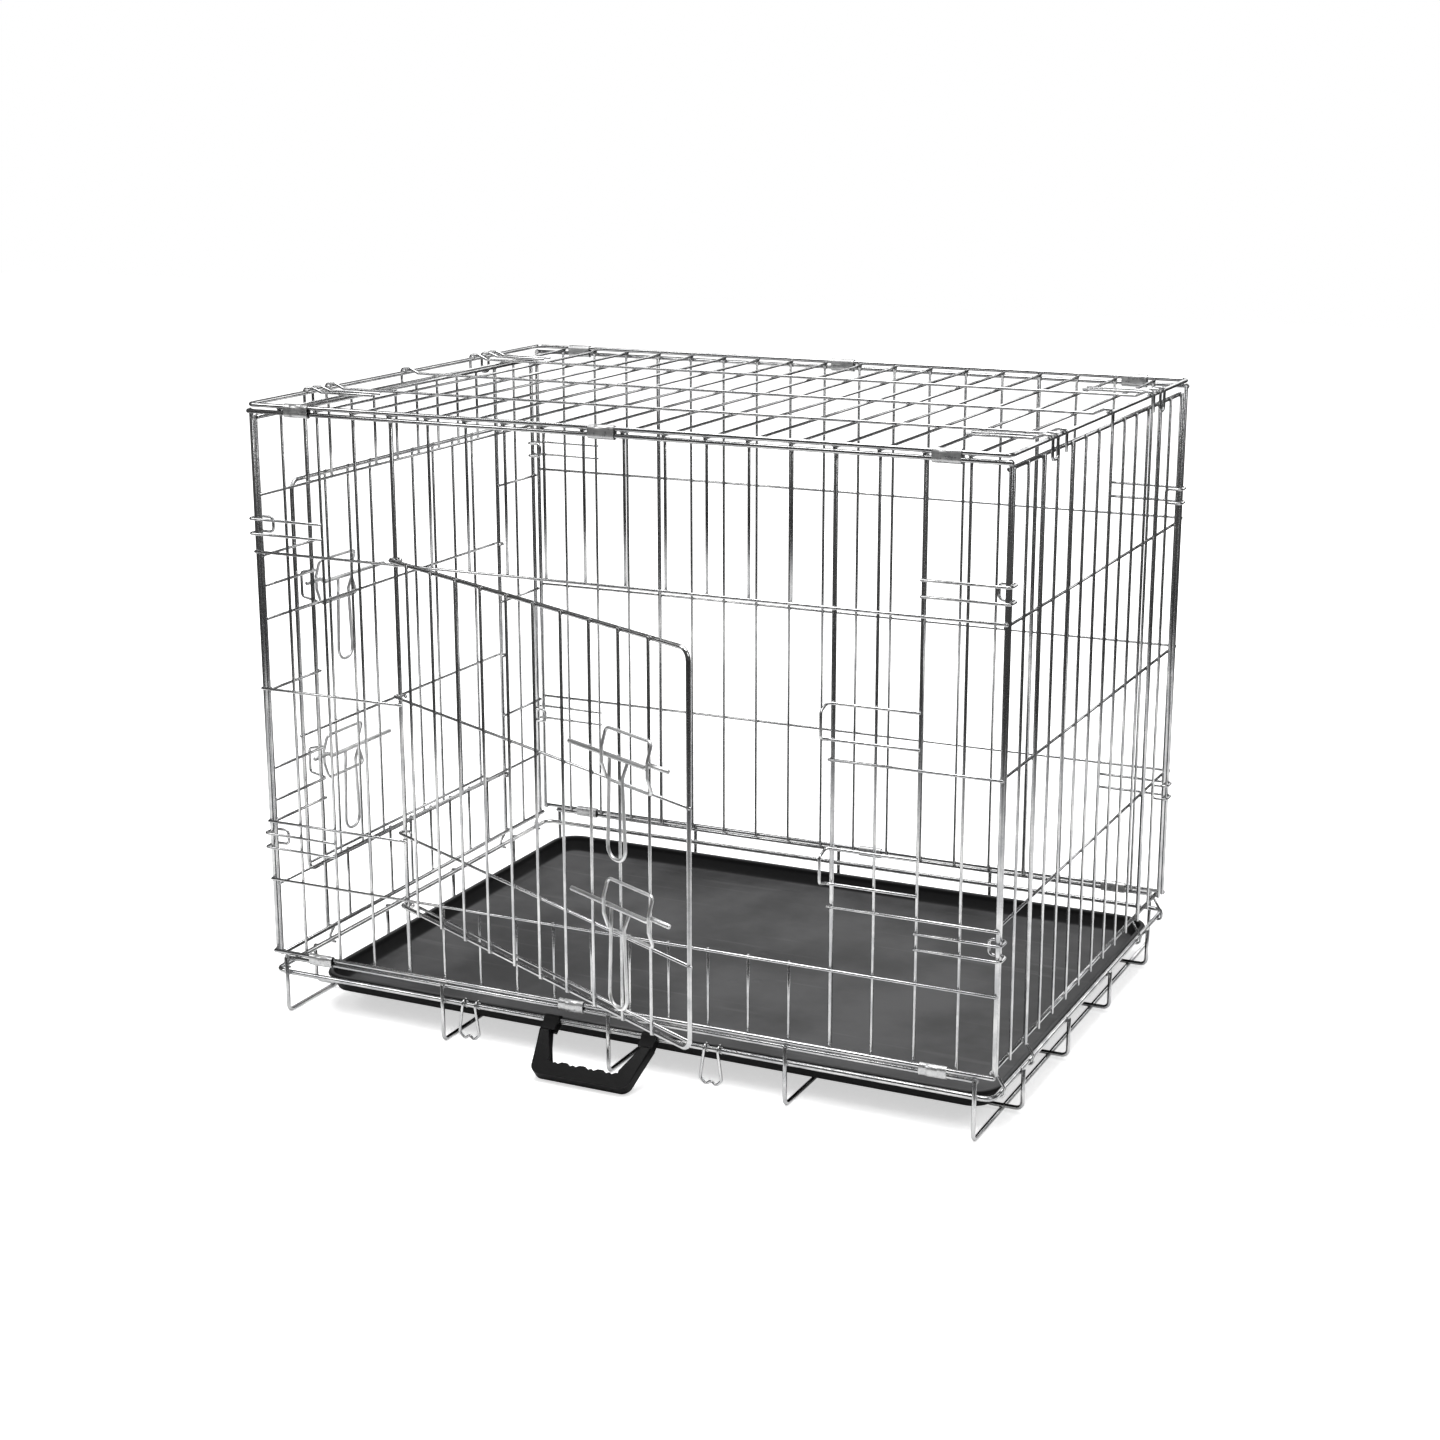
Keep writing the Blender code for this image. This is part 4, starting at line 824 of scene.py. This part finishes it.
for level in ("lower", "upper"):
    node = "front_%s_keeper" % level
    low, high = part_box(node)
    keeper_wire(node + "_wire", "cage", node, high.x, low.x + THIN_R, high.y - THIN_R, low.y + THIN_R,
                low.z, high.z, lambda a, out, z: (a, out, z))
    node = "end_%s_keeper" % level
    low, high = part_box(node)
    keeper_wire(node + "_wire", "left_end", node, low.y, high.y - THIN_R, high.x - THIN_R, low.x + THIN_R,
                low.z, high.z, lambda a, out, z: (out, a, z))


# Hinge clips: strips of bright sheet rolled round two neighbouring rails, so that the grids can turn.
# A slot is cut on the outside of each one, and the strip between is pressed up.

def sheet_zinc(name):
    """Bright zinc on rolled sheet, with faint lines along the strip."""
    finish = Finish(bpy.data.materials.new(name))
    dark, light, gloss = ZINC_TONES["sheet"]
    here = finish.add("TexCoord", "Object")
    cloud = finish.noise(here, 160.0, 4.0, 0.6).between(0.3, 0.7)
    rolled = finish.noise(here.stretched(40.0, 900.0, 900.0), 1.0, 2.0).between(0.4, 0.7)
    tone = finish.mix(cloud * 0.7 + rolled * 0.3, dark, light)
    roughness = gloss + 0.12 * cloud + 0.08 * rolled
    return finish.surface(tone, 0.8, roughness, finish.bump(0.4, 0.00005, rolled))


CLIP_SHEET = 0.0008
CLIP_BUMP = 0.0010
CLIP_STEPS = 7
BUMP_RISE = ((-0.52, 0.0), (-0.44, 0.25), (-0.38, 1.0), (0.38, 1.0), (0.44, 0.25), (0.52, 0.0))


def clip_profile(radius, half, swell, side):
    """Points of the sleeve's section round an upper and a lower rail; swell lifts its outer side."""
    points = []
    for middle, start in ((-half, 180), (half, 0)):
        for k in range(CLIP_STEPS + 1):
            turn = radians(start + 180 * k / CLIP_STEPS)
            out = radius + swell * max(0.0, cos(turn) * side) ** 0.5
            points.append((out * cos(turn), middle + radius * sin(turn)))
    return points


def hinge_clip(node):
    low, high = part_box(node)
    middle = (low + high) / 2
    side = 1 if middle.y > 0 else -1
    skin = (high.y - low.y) / 2 - CLIP_BUMP
    half = (high.z - low.z) / 2 - skin - CLIP_BUMP
    bore = skin - CLIP_SHEET
    length = (high.x - low.x) / 2
    bm = bmesh.new()
    stations = [(skin, share, swell) for share, swell in ((-1, 0.0), *BUMP_RISE, (1, 0.0))]
    rings = []
    for radius, share, swell in stations + [(bore, 1, 0.0), (bore, -1, 0.0)]:
        profile = clip_profile(radius, half, swell * CLIP_BUMP, side)
        rings.append([bm.verts.new((middle.x + share * length, middle.y + y, middle.z + z))
                      for y, z in profile])
    join_rings(bm, rings + rings[:1])
    plain_piece(node + "_sleeve", bm, "cage", [node], sheet_zinc(node + "_bright"), 35)


for face in ("front", "back"):
    for level in ("bottom", "top"):
        for number in (1, 2, 3):
            hinge_clip("%s_%s_clip_%d" % (face, level, number))


# Doors: one thick wire bent round three sides, its ends curled round the jamb wire as eyes.
# Upright wires are welded across it, and two mid wires end in eyes as well.

DOOR_CORNER_R = 0.010
EYE_GAP = 0.0004
DOOR_RAIL_W = FRAME_R + EYE_GAP + FRAME_R
DOOR_UPRIGHT_W = DOOR_RAIL_W + (FRAME_R + THIN_R) * WELD
DOOR_MID_W = DOOR_UPRIGHT_W - 2 * THIN_R * WELD
DOOR_SILL_DROP = 0.006
DOUBLE_RAIL = 0.0075
EYE_UP = 0.0040
MID_WELD_W = DOOR_MID_W + 0.3 * FRAME_R


def eye(radius, z):
    """Most of a turn round the jamb wire, leaving it along the door on its outer side."""
    return [(radius * cos(radians(t)), radius * sin(radians(t)), z) for t in range(30, 271, 15)]


def wire_door(name, node, body, width, columns, sill, lintel, mids, place):
    """A door between a grid's sill and lintel; its lower rail is doubled by a thin wire."""
    bottom = sill - DOOR_SILL_DROP
    top = lintel + EYE_UP
    double = bottom + DOUBLE_RAIL
    work = Wirework()
    clear = DOOR_RAIL_W + FRAME_R
    corner = bent([(clear, -DOOR_RAIL_W, top), (width, -DOOR_RAIL_W, top), (width, -DOOR_RAIL_W, bottom),
                   (clear, -DOOR_RAIL_W, bottom)], DOOR_CORNER_R)
    work.wire(eye(DOOR_RAIL_W, top) + corner + list(reversed(eye(DOOR_RAIL_W, bottom))), FRAME_R)
    touch = DOOR_RAIL_W * (1 - TOUCH_SHARE) + DOOR_UPRIGHT_W * TOUCH_SHARE
    for a in columns:
        work.wire([(a, -DOOR_UPRIGHT_W, bottom - OVERRUN), (a, -DOOR_UPRIGHT_W, top + OVERRUN)])
        for z in (bottom, top):
            work.spot_weld((a, -touch, z), (0, 1, 0), THICK_WELD)
        for z in (*mids, double):
            work.spot_weld((a, -(DOOR_MID_W + DOOR_UPRIGHT_W) / 2, z), (0, 1, 0), THIN_WELD)
    for z in mids:
        work.wire(eye(DOOR_MID_W, z) + [(width + STRIP_OVERRUN, -DOOR_MID_W, z)])
        work.spot_weld((width, -MID_WELD_W, z), (0, 1, 0), THICK_WELD)
    work.wire([(columns[0] - STRIP_OVERRUN, -DOOR_MID_W, double), (width, -DOOR_MID_W, double)])
    work.piece(name, body, [node], place)


front_joint = joints["front_door_swing"]
FRONT_DOOR_REST = radians(26.5)
FRONT_HINGE = Vector((front_joint["pos_m"][0], front_joint["pos_m"][1], BOTTOM_RAIL_Z))
FRONT_DOOR_PLACE = Matrix.Translation(FRONT_HINGE) @ Matrix.Rotation(-FRONT_DOOR_REST, 4, "Z")
FRONT_OPENING = column_x(LOCK_JAMB) - column_x(HINGE_JAMB)
FRONT_OVERLAP = 0.0115
FRONT_WIDTH = FRONT_OPENING + FRONT_OVERLAP
FRONT_FIRST = 0.0318
FRONT_LAST = 0.0494
FRONT_COLUMNS = 10
FRONT_MID_RISE = 0.008
FRONT_STEP = (FRONT_WIDTH - FRONT_FIRST - FRONT_LAST) / (FRONT_COLUMNS - 1)
wire_door("front_door_grid", "front_door", "front_door", FRONT_WIDTH,
          [FRONT_FIRST + k * FRONT_STEP for k in range(FRONT_COLUMNS)], SILL_UP, 3 * RAIL_SPACING,
          (RAIL_SPACING + FRONT_MID_RISE, 2 * RAIL_SPACING + FRONT_MID_RISE), FRONT_DOOR_PLACE)

end_joint = joints["end_door_swing"]
END_HINGE = Vector((end_joint["pos_m"][0], end_joint["pos_m"][1], BOTTOM_RAIL_Z))
END_DOOR_PLACE = Matrix.Translation(END_HINGE) @ Matrix.Rotation(-pi / 2, 4, "Z")
END_OPENING = END_PITCH * (END_LOCK_JAMB - END_HINGE_JAMB)
END_OVERLAP = 0.0215
END_WIDTH = END_OPENING + END_OVERLAP
END_MIDS = (0.205, 0.335)
wire_door("end_door_grid", "end_door", "end_door", END_WIDTH,
          [END_PITCH * k for k in range(1, END_LOCK_JAMB - END_HINGE_JAMB)], END_SILL, END_LINTEL,
          END_MIDS, END_DOOR_PLACE)


# Slide bolts: a rod with a kinked tip and a long hanging grip, run by hand through a wire guide.
# The guide is a closed ring whose two sides arch over the rod.

GUIDE_R = 0.0015
BOLT_R = 0.0022
GRIP_R = 0.0016
BOLT_LENGTH = 0.1415
BOLT_KINK = 0.004
BOLT_KINK_RUN = 0.026
GUIDE_BACK = 0.0874
GUIDE_WIDTH = 0.064
GUIDE_UP = 0.0235
GUIDE_DOWN = 0.0215
GUIDE_ARCH = 0.007
GRIP_BACK = 0.0820
GRIP_WIDTH = 0.026
GRIP_DROP = 0.088
GRIP_PINCH = 0.0037
GRIP_PINCH_DOWN = 0.0155
GRIP_BEND = 0.0109
GUIDE_BEND = 0.0045
ROD_BEND = 0.008
BOLT_WELD = 0.0027
LOOSE = 0.0005
GUIDE_GAP = 0.0003
ROD_GAP = 0.0004
TIP_GAP = 0.0007
BAR_W = DOOR_UPRIGHT_W + THIN_R + GUIDE_GAP + GUIDE_R
BOLT_W = DOOR_UPRIGHT_W + THIN_R + ROD_GAP + BOLT_R
ARCH_W = BOLT_W + BOLT_R + LOOSE + GUIDE_R
GRIP_W = BAR_W + GUIDE_R + GUIDE_GAP + GRIP_R + LOOSE
TIP_BACK = FRAME_R + LOOSE + THIN_R + THIN_R + TIP_GAP
FRONT_BOLTS_UP = {"lower": 0.1705, "upper": 0.3030}
END_BOLTS_UP = {"lower": 0.1680, "upper": 0.3520}


def bolt_and_guide(prefix, level, opening, z, place):
    tip = opening - TIP_BACK
    left = tip - GUIDE_BACK
    right = left + GUIDE_WIDTH
    ring = [(left, -BAR_W, z + GUIDE_UP), (right, -BAR_W, z + GUIDE_UP),
            (right, -ARCH_W, z + GUIDE_ARCH), (right, -ARCH_W, z - GUIDE_ARCH),
            (right, -BAR_W, z - GUIDE_DOWN), (left, -BAR_W, z - GUIDE_DOWN),
            (left, -ARCH_W, z - GUIDE_ARCH), (left, -ARCH_W, z + GUIDE_ARCH)]
    guide = Wirework()
    guide.wire(bent(ring, GUIDE_BEND, closed=True), GUIDE_R, closed=True)
    node = "%s_door_%s_guide" % (prefix, level)
    guide.piece(node + "_ring", "%s_door" % prefix, [node], place, "bolt")
    bolt = Wirework()
    rod = [(tip - BOLT_LENGTH, -BOLT_W, z), (tip - BOLT_KINK_RUN - BOLT_KINK, -BOLT_W, z),
           (tip - BOLT_KINK_RUN, -BOLT_W, z + BOLT_KINK), (tip, -BOLT_W, z + BOLT_KINK)]
    bolt.wire(bent(rod, ROD_BEND), BOLT_R)
    start = tip - GRIP_BACK
    end = start + GRIP_WIDTH
    hang = z - GRIP_PINCH_DOWN
    grip = [(start, -BOLT_W, z), (start + GRIP_PINCH, -GRIP_W, hang), (start, -GRIP_W, z - GRIP_DROP),
            (end, -GRIP_W, z - GRIP_DROP), (end - GRIP_PINCH, -GRIP_W, hang), (end, -BOLT_W, z)]
    bolt.wire(bent(grip, GRIP_BEND, steps=8), GRIP_R)
    for a in (start, end):
        bolt.spot_weld((a, -BOLT_W, z), (0, 1, 0), BOLT_WELD)
    node = "%s_door_%s_bolt" % (prefix, level)
    bolt.piece(node + "_wire", "%s_%s_bolt" % (prefix, level), [node], place, "bolt")


for level in ("lower", "upper"):
    bolt_and_guide("front", level, FRONT_OPENING, FRONT_BOLTS_UP[level], FRONT_DOOR_PLACE)
for level in ("lower", "upper"):
    bolt_and_guide("end", level, END_OPENING, END_BOLTS_UP[level], END_DOOR_PLACE)


# Carry handle: black moulded plastic, with finger waves inside its grip. Its two square loops are
# closed round the front lower rail, and it hangs down to just above the floor.

HANDLE_TOP_HALF = 0.060
HANDLE_BOTTOM_HALF = 0.050
HANDLE_REACH = 0.060
HANDLE_ARM = 0.0120
HANDLE_GRIP = 0.0125
HANDLE_THICK = 0.0110
HANDLE_WAVES = 4
HANDLE_WAVE = 0.0040
HANDLE_START = 0.0125
HANDLE_CORNER_R = 0.010
HANDLE_EDGE_R = 0.0022
HANDLE_BLACK = (0.004, 0.004, 0.0042)
# The lighter tone of the handle's upward faces: partly dust, partly painted light from above.
HANDLE_DUST_AND_TOP_LIGHT = (0.008, 0.008, 0.008)
WAVE_POINTS = 14
handle_place = Vector(joints["carry_handle_swing"]["pos_m"])
far_corner = hypot(HANDLE_REACH, HANDLE_THICK / 2)
droop = asin((LOWER_RAIL_Z - LOOSE) / far_corner) - atan2(HANDLE_THICK / 2, HANDLE_REACH)
HANDLE_PLACE = Matrix.Translation(handle_place) @ Matrix.Rotation(droop, 4, "X")


def handle_outline():
    """The handle's flat shape, across and down from the rail: round its outside, back along the waves."""
    outer = [(-HANDLE_TOP_HALF, HANDLE_START), (-HANDLE_BOTTOM_HALF, HANDLE_REACH),
             (HANDLE_BOTTOM_HALF, HANDLE_REACH), (HANDLE_TOP_HALF, HANDLE_START)]
    rounded = bent([(x, t, 0) for x, t in outer], HANDLE_CORNER_R, steps=8)
    points = [(p.x, p.y) for p in rounded]
    inner = HANDLE_REACH - HANDLE_GRIP
    wide = HANDLE_BOTTOM_HALF - HANDLE_ARM
    points.append((HANDLE_TOP_HALF - HANDLE_ARM, HANDLE_START))
    samples = HANDLE_WAVES * WAVE_POINTS
    for k in range(samples + 1):
        share = k / samples
        wave = HANDLE_WAVE * (0.5 - 0.5 * cos(2 * pi * HANDLE_WAVES * share))
        points.append((wide - 2 * wide * share, inner + wave - HANDLE_WAVE))
    points.append((HANDLE_ARM - HANDLE_TOP_HALF, HANDLE_START))
    return points


def handle_black(name):
    return black_plastic(name, HANDLE_BLACK, HANDLE_DUST_AND_TOP_LIGHT, 0.34, 0.14, 1800.0, 0.00008)


handle = bmesh.new()
faces = []
for side in (1, -1):
    corners = [handle.verts.new((x, -t, side * HANDLE_THICK / 2)) for x, t in handle_outline()]
    faces.append(handle.faces.new(corners))
upper, lower = [list(face.verts) for face in faces]
for k in range(len(upper)):
    n = (k + 1) % len(upper)
    handle.faces.new((upper[k], lower[k], lower[n], upper[n]))
rim = [e for e in handle.edges if (e.verts[0].co.z > 0) == (e.verts[1].co.z > 0)]
bmesh.ops.bevel(handle, geom=rim, offset=HANDLE_EDGE_R, segments=4, profile=0.5, affect="EDGES",
                clamp_overlap=True)
bmesh.ops.transform(handle, matrix=HANDLE_PLACE, verts=handle.verts)
plain_piece("carry_handle_grip", handle, "carry_handle", ["carry_handle"],
            handle_black("handle_black"), 35)

LOOP_WALL = 0.0024
LOOP_HALF_SPACING = 0.052
LOOP_SIDES = 24
FLAT_OF_TWELVE = cos(pi / 12)
LOOP_GAP = 0.0003
LUG_HALF = 0.0043
LUG_SPREAD = 1.3
LUG_FROM = -0.75
NECK_FROM = -0.6
NECK_SHARE = 0.55


def handle_loop(node, x):
    """A ring round the rail, drawn out on one side to a flat lug that the grip's arm stands on."""
    low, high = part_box(node)
    wide = (high.x - low.x) / 2
    bore = (RAIL_R + LOOSE) / FLAT_OF_TWELVE
    skin = bore + LOOP_WALL
    lug = HANDLE_START - LOOP_GAP
    bm = bmesh.new()
    outer = []
    hole = []
    for k in range(LOOP_SIDES):
        turn = 2 * pi * (k + 0.5) / LOOP_SIDES
        y, z = skin * cos(turn), skin * sin(turn)
        if cos(turn) < LUG_FROM:
            y, z = -lug, max(-LUG_HALF, min(LUG_HALF, z * LUG_SPREAD))
        elif cos(turn) < NECK_FROM:
            y = -lug * NECK_SHARE
        outer.append((y, z))
        hole.append((bore * cos(turn), bore * sin(turn)))
    rings = [[bm.verts.new((side, y, z)) for y, z in ring]
             for side, ring in ((-wide, outer), (wide, outer), (wide, hole), (-wide, hole))]
    join_rings(bm, rings + rings[:1])
    bmesh.ops.transform(bm, matrix=HANDLE_PLACE @ Matrix.Translation((x, 0, 0)), verts=bm.verts)
    plain_piece(node + "_closed", bm, "carry_handle", [node], handle_black(node + "_black"),
                35)


handle_loop("carry_handle_left_loop", -LOOP_HALF_SPACING)
handle_loop("carry_handle_right_loop", LOOP_HALF_SPACING)


# Fold clips: two thin wires that hang loose on the front lower rail.
# They are swung up over the folded grids to hold the cage flat for carrying.

FOLD_CLIP_HALF = 0.007
FOLD_CLIP_FLARE = 0.011
FOLD_CLIP_DROP = 0.034
FOLD_CLIP_FLARE_UP = 0.006
FOLD_CLIP_TOE = 0.005
FOLD_CLIP_DIP = 0.005
FOLD_CLIP_BEND = 0.003
FOLD_CLIP_PLAY = 0.0002
ring_r = RAIL_R + LOOSE + THIN_R + FOLD_CLIP_PLAY
hook = [(-ring_r * cos(radians(t)), ring_r * sin(radians(t))) for t in range(240, -1, -15)]
flare_z = FOLD_CLIP_FLARE_UP - FOLD_CLIP_DROP
hanging = [(-FOLD_CLIP_HALF, 0.0), (-FOLD_CLIP_FLARE, flare_z), (-FOLD_CLIP_TOE, -FOLD_CLIP_DROP),
           (0.0, FOLD_CLIP_DIP - FOLD_CLIP_DROP), (FOLD_CLIP_TOE, -FOLD_CLIP_DROP),
           (FOLD_CLIP_FLARE, flare_z), (FOLD_CLIP_HALF, 0.0)]
path = [(-FOLD_CLIP_HALF, y, z) for y, z in hook]
path += bent([(x, -ring_r, z) for x, z in hanging], FOLD_CLIP_BEND)[1:-1]
path += [(FOLD_CLIP_HALF, y, z) for y, z in reversed(hook)]
for side_name in ("left", "right"):
    clip = Wirework()
    clip.wire(path)
    node = "%s_fold_clip" % side_name
    at = joints[node + "_swing"]["pos_m"]
    clip.piece(node + "_wire", node, [node], Matrix.Translation(at))
